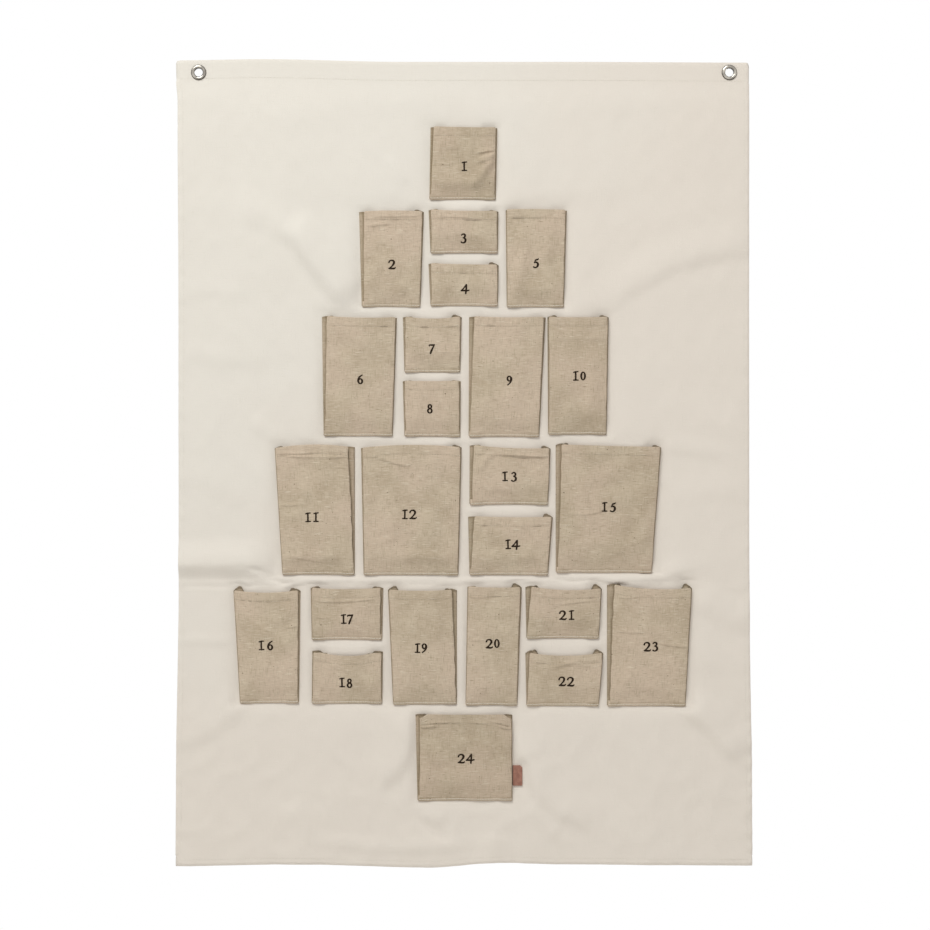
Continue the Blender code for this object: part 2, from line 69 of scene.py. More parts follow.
# Banner
BANNER_WIDTH, BANNER_HEIGHT = 0.600, 0.837
TOP_EDGE, BOTTOM_EDGE = 0.0116, 0.0116 - 0.837
FACE_DEPTH = 0.0021
CANVAS = 0.0007
TOP_HEM, SIDE_HEM, BOTTOM_HEM = 0.021, 0.007, 0.008
EDGE_DRAW_IN = 0.003
EDGE_WAVE = 0.0026
EYELET_X = 0.2764

# Pockets
LINEN = 0.00055
ON_LINEN = LINEN / 2 + 0.05 * MM
PLEAT_DEPTH = 0.0146
MOUTH_DEPTH = 0.0043
SWELL_HEIGHT = 0.022
HEM_STITCHES, FOOT_STITCHES = 9.0 * MM, 1.7 * MM
STITCH_PITCH = 0.0029
FOOT_CORNER = 1.8 * MM
CREASE_GAIN = 1.35
NUMBER_HEIGHT = 0.0095
INK_CELL = 0.019
INK_SPREAD = 0.024

# The points across one side of a pocket: along each leg of its pleat, round the crease between the
# legs, and round the front's folded edge; the last table is the shade painted on the cloth round that
# edge.
LEG_SHARES = (0.0, 0.15, 0.3, 0.42, 0.52, 0.6, 0.75, 1.0)
CREASE_ANGLES = (-45, 0, 45)
EDGE_ANGLES = (-60, -30, 0, 30, 60)
EDGE_PAINTED_SHADE = (0.8, 0.55, 0.3, 0.12, 0.0)
LEG, CREASE, EDGE = len(LEG_SHARES), len(CREASE_ANGLES), len(EDGE_ANGLES)

# What is turned in at a pocket's foot and mouth: distances up or down from there, and behind the
# front.
FOOT_TURN_mm = ((6.0, 0.72), (3.0, 0.72), (1.2, 0.72), (0.35, 0.58), (0.0, 0.34), (0.25, 0.08))
MOUTH_TURN_mm = (
    (0.12, 0.12), (0.0, 0.36), (0.12, 0.60), (0.5, 0.72), (3.0, 0.72), (6.2, 0.72), (9.6, 0.72),
)

# The banner's turn round an edge, as distances out of the edge and back from its face.
HEM_TURN_mm = ((0.26, 0.10), (0.35, 0.35), (0.35, 0.70), (0.35, 1.05), (0.26, 1.30), (0.0, 1.40))

# The shape of a stitch at shares of its length: how far it bows out, and how wide it is.
STITCH_SHAPE = (
    (0.0, -0.9, 0.45), (0.22, 0.35, 1.0), (0.5, 1.0, 1.05), (0.78, 0.35, 1.0), (1.0, -0.9, 0.45),
)
STITCH_CORNERS = 6


# ---------------------------------------------------------------- helpers
def place(x, y):
    """Metres from a pixel of the photograph."""
    return (x - PIXEL_X0) * PIXEL, (PIXEL_Y0 - y) * PIXEL


def ease(t):
    t = np.clip(t, 0, 1)
    return t * t * (3 - 2 * t)


def grow(length, start_mm, reach_mm):
    """0 up to the start, 1 a reach beyond it, and eased between them."""
    return ease((length - start_mm * MM) / (reach_mm * MM))


def hump(length, middle_mm, reach_mm):
    """A rounded ridge of height 1 about its middle."""
    return np.exp(-(((length - middle_mm * MM) / (reach_mm * MM)) ** 2))


def arch(t):
    return 4 * t * (1 - t)


def running(steps):
    """The distances that steps add up to, from 0."""
    return np.concatenate([[0], np.cumsum(steps)])


def outside(x, z, left, right, low, high):
    """How far places are outside a box, 0 inside it."""
    away_x = np.maximum(np.maximum(left - x, x - right), 0)
    away_z = np.maximum(np.maximum(low - z, z - high), 0)
    return np.hypot(away_x, away_z)


def along(table, t):
    """The value of a table of (place, value) pairs, eased between its points."""
    t = np.asarray(t, float)
    out = np.full(t.shape, float(table[-1][1]))
    for (low, first), (high, second) in reversed(list(zip(table, table[1:]))):
        out = np.where(t <= high, first + (second - first) * ease((t - low) / (high - low)), out)
    return out


def wobble(x, z, seed, size, waves=7):
    """Smooth noise of about -1 to 1 whose humps are about size across."""
    dice = random.Random(seed)
    out = np.zeros(np.broadcast(x, z).shape)
    for _ in range(waves):
        angle = dice.uniform(0, math.tau)
        turn = math.tau / (size * dice.uniform(0.7, 1.6))
        phase = dice.uniform(0, math.tau)
        out = out + np.sin((x * math.cos(angle) + z * math.sin(angle)) * turn + phase)
    return out / math.sqrt(waves)


def numbers(text, unit=" "):
    return [float(value) for value in text.split(unit) if value]


def read_folds(text):
    """Folds from lines of text: the points of a ridge line in pixels, then the ridge's height and
    its reach on its left and right hand in millimetres, and how round it is, from 0 to 1."""
    rows = [row.split(":") for row in text.strip().splitlines()]
    return [([numbers(point, ",") for point in line.split()], *numbers(shape)) for line, shape in rows]


def fold_relief(folds, x, z):
    """How far folds stand out at places."""
    x, z = np.broadcast_arrays(x, z)
    total = np.zeros(x.shape)
    for line, height, left, right, roundness in folds:
        points = np.array([place(*point) for point in line])
        runs = np.diff(points, axis=0)
        lengths = np.hypot(runs[:, 0], runs[:, 1])
        starts = running(lengths)
        best = np.full(x.shape, 1e9)
        side = np.zeros(x.shape)
        spot = np.zeros(x.shape)
        for start, point, run, length in zip(starts, points, runs, lengths):
            away_x, away_z = x - point[0], z - point[1]
            t = np.clip((away_x * run[0] + away_z * run[1]) / length**2, 0, 1)
            gap = np.hypot(away_x - t * run[0], away_z - t * run[1])
            nearer = gap < best
            best = np.where(nearer, gap, best)
            side = np.where(nearer, run[0] * away_z - run[1] * away_x, side)
            spot = np.where(nearer, start + t * length, spot)
        reach = np.where(side > 0, left, right) * MM
        t = np.clip(best / reach, 0, 1)
        profile = roundness * (1 - ease(t)) + (1 - roundness) * (1 - t) ** 2
        fade = ease(spot / (0.22 * starts[-1])) * ease((starts[-1] - spot) / (0.22 * starts[-1]))
        total = total + height * MM * profile * (0.12 + 0.88 * fade)
    return total


def add_object(name, data):
    obj = bpy.data.objects.new(name, data)
    bpy.context.scene.collection.objects.link(obj)
    return obj


def link(name, mesh, material, smooth=True):
    mesh.materials.append(material)
    if smooth:
        mesh.shade_smooth()
    return add_object(name, mesh)


def mesh_of(name, points, faces, uv=None):
    mesh = bpy.data.meshes.new(name)
    mesh.from_pydata(np.asarray(points).tolist(), [], faces)
    if uv is not None:
        layer = mesh.uv_layers.new(name="cloth")
        index = np.empty(len(mesh.loops), np.int32)
        mesh.loops.foreach_get("vertex_index", index)
        layer.data.foreach_set("uv", np.asarray(uv, np.float32)[index].ravel())
    return mesh


def mesh_from(name, bm):
    mesh = bpy.data.meshes.new(name)
    bm.to_mesh(mesh)
    bm.free()
    return mesh


def thicken(obj, thickness):
    solid = obj.modifiers.new("thickness", "SOLIDIFY")
    solid.thickness = thickness
    solid.offset = 0


def patch(name, points, uv, valid, material, thickness, painted_shade=None):
    """Cloth from a grid of points, where only the valid cells are cloth, given a thickness. Painted
    shade for the material, in the pleats and creases, can be marked on its points."""
    rows, columns = points.shape[:2]
    index = np.arange(rows * columns).reshape(rows, columns)
    quads = np.stack([index[:-1, :-1], index[:-1, 1:], index[1:, 1:], index[1:, :-1]], axis=-1)
    used, quads = np.unique(quads[valid], return_inverse=True)
    quads = quads.reshape(-1, 4).tolist()
    mesh = mesh_of(name, points.reshape(-1, 3)[used], quads, uv.reshape(-1, 2)[used])
    obj = link(name, mesh, material)
    if painted_shade is not None:
        layer = mesh.attributes.new("painted_shade", "FLOAT", "POINT")
        layer.data.foreach_set("value", painted_shade.ravel()[used].astype(np.float32))
    thicken(obj, thickness)
    return obj


def settle(obj):
    """Makes the mesh what its modifiers make of it."""
    bpy.context.view_layer.update()
    graph = bpy.context.evaluated_depsgraph_get()
    mesh = bpy.data.meshes.new_from_object(obj.evaluated_get(graph))
    obj.modifiers.clear()
    obj.data = mesh


def fasten(obj, slot, *stands_for, body="banner"):
    """Hides the nodes that a piece stands for and puts the piece on the body it rides on. Its slot is
    not used.
    """
    if stands_for:
        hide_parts(*stands_for)
    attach(obj, body)


# -------------------------------------------------------------- materials
def rgb(red, green, blue):
    """A linear colour from display values of 0 to 255."""
    out = []
    for value in (red, green, blue):
        share = value / 255
        out.append(share / 12.92 if share <= 0.04045 else ((share + 0.055) / 1.055) ** 2.4)
    return (*out, 1.0)


class Shade:
    """A material's node tree, with short ways to add what these need."""

    def __init__(self, name, roughness, metallic=0.0, sheen=0.0, specular=0.5):
        self.material = bpy.data.materials.new(name)
        self.material.use_nodes = True
        self.tree = self.material.node_tree
        self.shader = self.tree.nodes["Principled BSDF"]
        self.shader.inputs["Roughness"].default_value = roughness
        self.shader.inputs["Metallic"].default_value = metallic
        self.shader.inputs["Sheen Weight"].default_value = sheen
        self.shader.inputs["Specular IOR Level"].default_value = specular

    def put(self, socket, value):
        if isinstance(value, bpy.types.NodeSocket):
            self.tree.links.new(value, socket)
        else:
            socket.default_value = value

    def add(self, kind, settings=(), **inputs):
        node = self.tree.nodes.new(f"ShaderNode{kind}")
        for key, value in dict(settings).items():
            setattr(node, key, value)
        for key, value in inputs.items():
            self.put(node.inputs[key.replace("_", " ")], value)
        return node

    def math(self, operation, *values):
        node = self.add("Math", {"operation": operation})
        for socket, value in zip(node.inputs, values):
            self.put(socket, value)
        return node.outputs[0]

    def cloth_uv(self):
        return self.add("UVMap", {"uv_map": "cloth"}).outputs[0]

    def object_place(self):
        return self.add("TexCoord").outputs["Object"]

    def scaled(self, vector, x, y=None):
        return self.add("Mapping", Vector=vector, Scale=(x, y or x, x)).outputs[0]

    def noise(self, vector, x, y=None, detail=1.0, roughness=0.5):
        """Noise with x by y humps to the metre, or x in every direction."""
        vector = self.scaled(vector, x, y)
        node = self.add("TexNoise", Vector=vector, Scale=1.0, Detail=detail, Roughness=roughness)
        return node.outputs["Fac"]

    def weave(self, uv, pitch, jitter):
        """The over and under of a plain weave, 0 to 1, with threads that wander a little."""
        parts = self.add("SeparateXYZ", Vector=uv)
        drift = self.math("MULTIPLY_ADD", self.noise(uv, 260), jitter * pitch, -jitter * pitch / 2)
        waves = []
        for socket in parts.outputs[:2]:
            moved = self.math("ADD", socket, drift)
            waves.append(self.math("SINE", self.math("MULTIPLY", moved, math.pi / pitch)))
        return self.math("MULTIPLY_ADD", self.math("MULTIPLY", *waves), 0.5, 0.5)

    def ramp(self, value, low, high):
        """0 up to low and 1 from high on."""
        smooth = {"interpolation_type": "SMOOTHSTEP"}
        return self.add("MapRange", smooth, Value=value, From_Min=low, From_Max=high).outputs[0]

    def mix(self, share, first, second, blend="MIX"):
        node = self.add("Mix", {"data_type": "RGBA", "blend_type": blend})
        for socket, value in ((0, share), (6, first), (7, second)):
            self.put(node.inputs[socket], value)
        return node.outputs[2]

    def layers(self, base, *layers):
        """A colour with others laid over it. Each comes in where a value goes from low to high, up
        to a strength."""
        colour = rgb(*base)
        for value, low, high, strength, tint in layers:
            share = self.math("MULTIPLY", self.ramp(value, low, high), strength)
            colour = self.mix(share, colour, rgb(*tint))
        return colour

    def finish(self, colour, *bumps, roughness=None):
        """The material, with its colour and bumps of (height, distance)."""
        self.put(self.shader.inputs["Base Color"], colour)
        normal = None
        for height, distance in bumps:
            node = self.add("Bump", Height=height, Distance=distance, Strength=1.0)
            if normal:
                self.put(node.inputs["Normal"], normal)
            normal = node.outputs[0]
        if normal:
            self.put(self.shader.inputs["Normal"], normal)
        if roughness is not None:
            self.put(self.shader.inputs["Roughness"], roughness)
        return self.material


def linen_material():
    shade = Shade("linen", 0.92, sheen=0.08, specular=0.25)
    uv = shade.cloth_uv()
    weave = shade.weave(uv, 0.00062, 0.9)
    weft = shade.noise(uv, 120, 1150, detail=2.0, roughness=0.6)
    warp = shade.noise(uv, 1150, 90, detail=2.0, roughness=0.6)
    slub = shade.noise(uv, 95, 800)
    colour = shade.layers(
        (190, 172, 149),
        (shade.noise(uv, 38, detail=2.0), 0.32, 0.68, 1.0, (203, 186, 163)),
        (shade.noise(uv, 17), 0.35, 0.65, 1.0, (206, 186, 165)),
        (weft, 0.50, 0.76, 0.66, (220, 205, 183)),
        (weft, 0.47, 0.24, 0.45, (152, 135, 110)),
        (warp, 0.50, 0.26, 0.45, (154, 138, 113)),
        (slub, 0.62, 0.75, 0.70, (224, 211, 190)),
        (shade.noise(uv, 130, 900), 0.68, 0.78, 0.60, (132, 115, 91)),
        (shade.noise(uv, 800, 110), 0.66, 0.78, 0.50, (218, 204, 183)),
        (shade.noise(uv, 420, 520, detail=0.0), 0.83, 0.87, 0.80, (84, 64, 44)),
        (weave, 0.30, 0.0, 0.30, (120, 104, 82)),
    )
    # Painted shade: the linen is multiplied towards a darker tone by the attribute read here. It marks
    # shade painted in the pleats, at their folded tops, round the front's folded edges, along the
    # pressed lines and in the foot's corners, on top of each pocket's even darkening.
    painted_shade = shade.add("Attribute", {"attribute_name": "painted_shade"}).outputs["Fac"]
    colour = shade.mix(shade.math("MULTIPLY", painted_shade, 0.50), colour, rgb(186, 181, 167), "MULTIPLY")
    slub = shade.ramp(slub, 0.62, 0.75)
    return shade.finish(colour, (weave, 0.00012), (weft, 0.00026), (slub, 0.00010))


def canvas_material():
    shade = Shade("canvas", 0.90, sheen=0.08, specular=0.25)
    uv = shade.cloth_uv()
    weave = shade.weave(uv, 0.00048, 0.8)
    weft = shade.noise(uv, 60, 1400, detail=2.0, roughness=0.6)
    warp = shade.noise(uv, 1400, 60, detail=2.0, roughness=0.6)
    # Painted light: the canvas turns darker and pinker towards the lower right, as light that falls off
    # there, mottled by noise.
    spot = shade.add("SeparateXYZ", Vector=shade.object_place())
    slant = shade.math("MULTIPLY_ADD", spot.outputs[2], -0.75, spot.outputs[0])
    painted_falloff_and_mottle = shade.math("MULTIPLY_ADD", shade.noise(uv, 9, detail=3.0), 0.3, slant)
    grey, pale = (212, 205, 190), (240, 234, 224)
    colour = shade.layers(
        (231, 224, 214),
        (painted_falloff_and_mottle, 0.12, 0.46, 1.0, (229, 219, 208)),
        (weft, 0.42, 0.25, 0.22, grey),
        (warp, 0.42, 0.25, 0.22, grey),
        (shade.noise(uv, 160, 900), 0.70, 0.80, 0.45, pale),
        (shade.noise(uv, 900, 160), 0.72, 0.82, 0.45, pale),
        (weave, 0.28, 0.0, 0.16, (188, 180, 162)),
    )
    return shade.finish(colour, (weave, 0.00008), (shade.math("ADD", weft, warp), 0.00010))


def thread_material(name, light, dark):
    shade = Shade(name, 0.70, sheen=0.1)
    spot = shade.object_place()
    twist = shade.noise(spot, 2600)
    tone = shade.noise(spot, 320)
    colour = shade.layers(dark, (twist, 0.35, 0.65, 1.0, light), (tone, 0.4, 0.7, 0.3, dark))
    return shade.finish(colour, (twist, 0.00008))


def ink_material():
    shade = Shade("stamped_ink", 0.78, specular=0.2)
    spot = shade.object_place()
    threads = shade.noise(spot, 1500, detail=2.0)
    patchy = shade.noise(spot, 520)
    colour = shade.layers(
        (30, 19, 9),
        (threads, 0.40, 0.75, 1.0, (52, 37, 22)),
        (patchy, 0.58, 0.78, 0.4, (78, 60, 42)),
    )
    return shade.finish(colour, (threads, 0.00006))


def nickel_material():
    """Nickel darkened round the flange's rim and at the lip of the bore: painted dark reflection and
    shade there, over dulling in the grooves.
    """
    shade = Shade("nickel", 0.2, metallic=1.0)
    spot = shade.object_place()
    scuff = shade.noise(spot, 900, detail=3.0)
    x, _, z = shade.add("SeparateXYZ", Vector=spot).outputs
    across = shade.math("SUBTRACT", shade.math("ABSOLUTE", x), EYELET_X)
    squares = [shade.math("POWER", value, 2.0) for value in (across, z)]
    radius = shade.math("SQRT", shade.math("ADD", *squares))
    colour = shade.layers(
        (190, 184, 174),
        (shade.noise(spot, 170), 0.35, 0.65, 1.0, (152, 146, 138)),
        # Painted dark reflection and shade at the rim and the lip, over dulling in the grooves.
        (radius, 6.9 * MM, 7.7 * MM, 0.92, (58, 51, 43)),
        (radius, 5.3 * MM, 4.6 * MM, 0.92, (58, 51, 43)),
    )
    roughness = shade.math("MULTIPLY_ADD", shade.ramp(scuff, 0.45, 0.75), 0.16, 0.16)
    return shade.finish(colour, (scuff, 0.000004), roughness=roughness)


def leather_material():
    shade = Shade("leather", 0.55)
    spot = shade.object_place()
    cells = shade.add("TexVoronoi", Vector=shade.scaled(spot, 2100), Scale=1.0).outputs["Distance"]
    tone = shade.noise(spot, 260, detail=3.0)
    colour = shade.layers(
        (138, 92, 76),
        (tone, 0.30, 0.70, 1.0, (162, 114, 96)),
        (cells, 0.45, 0.75, 0.30, (120, 78, 62)),
    )
    roughness = shade.math("MULTIPLY_ADD", tone, 0.25, 0.42)
    return shade.finish(colour, (cells, -0.00007), roughness=roughness)


LINEN_CLOTH = linen_material()
CANVAS_CLOTH = canvas_material()
LIGHT_THREAD = thread_material("light_thread", (232, 225, 212), (196, 187, 170))
SOFT_THREAD = thread_material("soft_thread", (198, 186, 166), (150, 136, 114))
CREAM_THREAD = thread_material("cream_thread", (236, 231, 220), (205, 198, 184))
# Dark thread for the loops over the pleats' raw tops, dark enough to paint the shade inside the pocket
# mouths as well.
DARK_THREAD_AND_PAINTED_SHADE = thread_material("dark_thread_and_painted_shade", (142, 128, 106), (62, 50, 36))
INK = ink_material()
NICKEL = nickel_material()
LEATHER = leather_material()


# ---------------------------------------------------------------- pockets
# A pocket a line, lengths in millimetres: how far its mouth sags at its middle, and how much lower
# its right corner is than its left; how far its left and right pleats' folded tops stand above the
# mouth, how far the front's top corners hang below them, and how far its folded edges wander; the
# pixels of pleat that show beside the front, left and right at the mouth and then at the foot; how
# dark the cloth is; the middle of the number in pixels, and the pixels between its digits.
POCKETS = """
 1  0.4  0.8 0.6 0.5   0   0 0.18 0.18 3.4 1.6 1.6 1.2 0.36 464.3   167    0
 2 -0.4    0 0.4 2.4   0   0 0.18 0.18 5.4 1.8 2.6   1  0.1 391.8 264.7    0
 3  0.8  1.4 1.4 1.6   0   0 0.18 0.18 2.5 1.8 1.2   1  0.1 463.3   239    0
 4  0.6  1.4   1 3.2   0   0 0.18 0.18 2.5 1.8 1.2   1    0 464.9 289.2    0
 5 -0.3  0.5 0.8 0.6   0   0 0.18 0.18 1.2 1.6 0.9 1.1  0.1 535.7 263.5    0
 6  1.2    1 1.2 0.4   0   0 0.18 0.18 5.2 1.6 1.6 1.2  0.1 360.2 379.8    0
 7  2.2    0 0.8 2.8   0   0 0.18 0.18   3 1.8 1.4 1.2    0   432   349    0
 8  0.6    0   1 1.2   0   0 0.18 0.18 2.2   2 2.2 1.4  0.1 429.8 408.8    0
 9  0.9  0.4 0.8 0.6   0   0 0.18 0.18 5.6   2 1.4 1.2  0.1 509.4 380.8    0
10  0.8    0 2.2 2.2   0   0 0.18 0.18 1.6 1.4 1.2 0.8 0.26 579.2 376.1  7.5
11 -2.8 -1.4 2.6   1   0   0 0.25 0.42   1 0.8   1   1  0.1 312.2 517.3  8.3
12 -2.4 -0.6   1   3   0   0 0.18 0.18   2 1.6 1.2   1  0.1 408.8 514.3    8
13  1.6  3.2   1 3.2   0   0 0.18 0.18 4.4 1.4   3   1  0.1 509.2 476.6 8.75
14  0.8  0.6 0.6   4   0   0  0.3  0.2 6.6 1.4 1.4   1  0.1 511.8 544.4  8.1
15  0.4  2.6 2.2 2.6   0   0 0.25  0.2 1.3 1.2 2.2 0.8 0.22 608.2   507  8.2
16  2.4    0   5 3.2   0   0 0.18 0.18 1.2 2.4   1 1.6 0.04   266 644.9 8.75
17  1.6    0 2.2   2   0   0 0.18 0.18 1.6 2.8 1.2   2  0.1 347.2 618.6  6.8
18  5.2  0.6 0.8 0.8 1.8 1.6 0.18 0.18 1.4 1.6 1.2 1.2  0.1   346 681.9 7.75
19  1.2    0 4.6   2   0   0  0.2 0.35 1.4 0.4 0.8 0.8  0.1   421 647.7  7.1
20  0.9  0.8   1 4.6   0   0 0.18 0.18 1.2 1.6 0.9 1.1  0.1 492.9 643.3  7.7
21  2.6  1.8   2 5.2   0   0 0.18 0.18 6.4 1.2 0.9 0.8 0.22 566.9 614.7    9
22    3    0   4 4.2   0   0 0.18 0.18 4.6 1.2   1 0.8  0.1 565.9 681.2  8.8
23  2.8  3.4   2 5.2   0   0 0.25  0.2 2.4 1.2   3 0.8  0.1 650.6 646.2 7.75
24  0.3  0.2 0.9 0.9 3.4 4.2 0.18 0.18 4.6   1   2   1 0.36 465.7   758    9
"""
POCKETS = {int(values[0]): values[1:] for values in map(numbers, POCKETS.strip().splitlines())}

# Creases and soft folds in the pocket fronts, for read_folds().
FRONT_FOLDS = read_folds("""
546,339 560,339.6 580,340.4 610,338: 1.1 4 1.3 0.2
494,454.2 507,454.8 525,456 551,457.6: 1.3 5 1.2 0.2
274,453.4 290,453.8 300,454 318,453: 0.8 4 1.2 0.2
282,456.6 300,457 325,457.6 352,456.6: 1.2 4.5 1.3 0.2
340,452 350,452.4: 0.5 3 1.2 0.2
334,467 344,468 352,468.6: 0.5 3 1.2 0.2
276,504.8 288,505.6 300,505: 0.7 4 1.4 0.2
290,556 303,558.6 315,561 326,562: 0.6 5 1.6 0.3
360,457.6 379,456.4: 0.7 4 1.4 0.3
378,458 395,463.5 411,467: 1 5 1.4 0.3
440,217.2 458,217.6 474,218.6: 0.8 4 1 0.2
372,216.8 392,217.2 424,216.4: 0.6 4 1.2 0.3
367,226.8 378,225.6 392,224.2: 0.8 5 1.6 0.4
384,274.4 390,275: 0.5 2.5 1 0.2
445,326.6 451,326.6 458,326.8: 0.8 3.5 1 0.2
441,352 452,352.6: 0.5 2.5 1 0.2
448,414 458,414.6: 0.4 2.5 1 0.2
419,727.6 427,726.8 438,725.8: 1.2 2.6 1.1 0.2
421,724 436,722.6 450,721.8: 0.9 2.4 1.1 0.2
470,722 482,723 492,725: 0.6 2.5 1.2 0.2
494,721.6 504,724 514,726: 0.9 2.4 1.1 0.2
498,725.8 506,728.2 515,729.6: 1.2 2.4 1.1 0.2
465.6,715 465.2,727 464.6,740: -0.7 1.6 1.6 0.2
312,600.4 332,601.8 352,601.2 379,598.6: 0.8 5 1.6 0.3
316,617 330,618.6: 0.5 3 1.4 0.2
286,627.6 299,626.2: 0.9 4 1.4 0.3
617,597.4 630,598 640,596: 0.6 3.5 1.4 0.3
658,642.8 672,645.4 690,647.6: 1 5 1.8 0.4
616,630.4 632,632.6 648,631.6: 0.7 5 2 0.5
675,688.6 683,690: 0.5 3 1.4 0.3
558,605 572,602.4 592,600.6 601,601: 0.9 4 1.8 0.4
540,616.2 556,616.2: 0.4 2.5 1 0.2
548,669 560,665 580,660 602,661: 0.8 5 2.5 0.5
498,650 505,653 511,659: -0.8 2.5 2.5 0.3
468,640.4 484,640: 0.6 3 1.2 0.2
466,596.6 480,597.4 498,595.6: 0.6 4 1.4 0.3
547,667 570,664 598,666: 0.6 6 3 0.7
476,474 484,462 494,452: 1.2 6 6 0.9
484,492 498,489 515,494: 0.7 6 5 0.8
566,514.2 590,514 606,509.6: 0.7 5 2.2 0.5
571,545 592,543 612,548: 0.5 6 4 0.7
600,560 614,562 628,560: 0.5 5 3 0.6
646,486.8 653,487.2: 0.6 2.5 1 0.2
483,519 479,530 473,541: 1.1 3 3.4 0.8
440,266 437,280 433,298: 0.8 3 3.4 0.8
441,211 438.6,226 435,246: 0.8 3 3.4 0.8
476,154.4 486,151.8 497,150.8: 1.3 4 1.4 0.2
499,153.4 488,158.4 477,163.4: 2.4 4 5 0.5
499,158 488,166 479,178 470,192: 2.4 8 11 0.7
444,146.6 452,148.6 462,149.4: 0.6 5 2.6 0.5
437,164.6 446,165.2 456,162.8: 0.5 4 2 0.4
470,120 470,150 472,200: 0.5 10 10 1
437,181 455,186 494,183: 0.5 8 8 1
340,380 342,400 352,420: 0.9 12 12 1
345,322 352,345 350,372: 0.7 12 12 1
374,235 378,262 372,290: 0.7 9 10 1
408,282 398,296 384,303: 0.7 8 8 1
520,225 524,260 516,300: 0.7 9 10 1
430,520 436,545 430,566: 0.9 14 12 1
376,500 390,520 384,552: 0.8 13 12 1
395,560 425,556 455,561: 0.7 10 8 1
280,560 310,555 344,560: 0.7 9 8 1
300,470 306,495 296,520: 0.8 11 12 1
318,634 345,630 376,634: 1.1 6 6 1
324,668 340,664 352,672 366,690: 0.8 6 7 1
240,610 262,640 268,690: 0.8 16 14 1
258,600 268,616 286,622: 0.6 8 8 1
425,735 432,760 428,790: 1 12 14 1
500,740 506,765 498,790: 0.9 14 12 1
442,735 456,741 476,740: 0.6 8 8 1
620,600 632,650 626,700: 0.9 16 14 1
640,470 646,510 636,560: 1 18 14 1
585,470 578,500 586,540: 0.8 13 14 1
505,330 520,370 508,420: 0.8 14 14 1
488,350 486,380 492,412: 0.6 9 9 1
590,350 594,385 584,425: 0.8 9 9 1
560,384 572,398 566,420: 0.7 7 7 1
404,610 412,650 406,695: 0.8 9 9 1
440,600 436,640 444,690: 0.6 9 9 1
484,610 480,650 486,695: 0.7 8 8 1
508,600 510,625 504,645: 0.6 7 7 1
415,385 420,400 414,428: 0.6 8 8 1
500,552 515,560 540,556: 0.6 7 6 1
""")


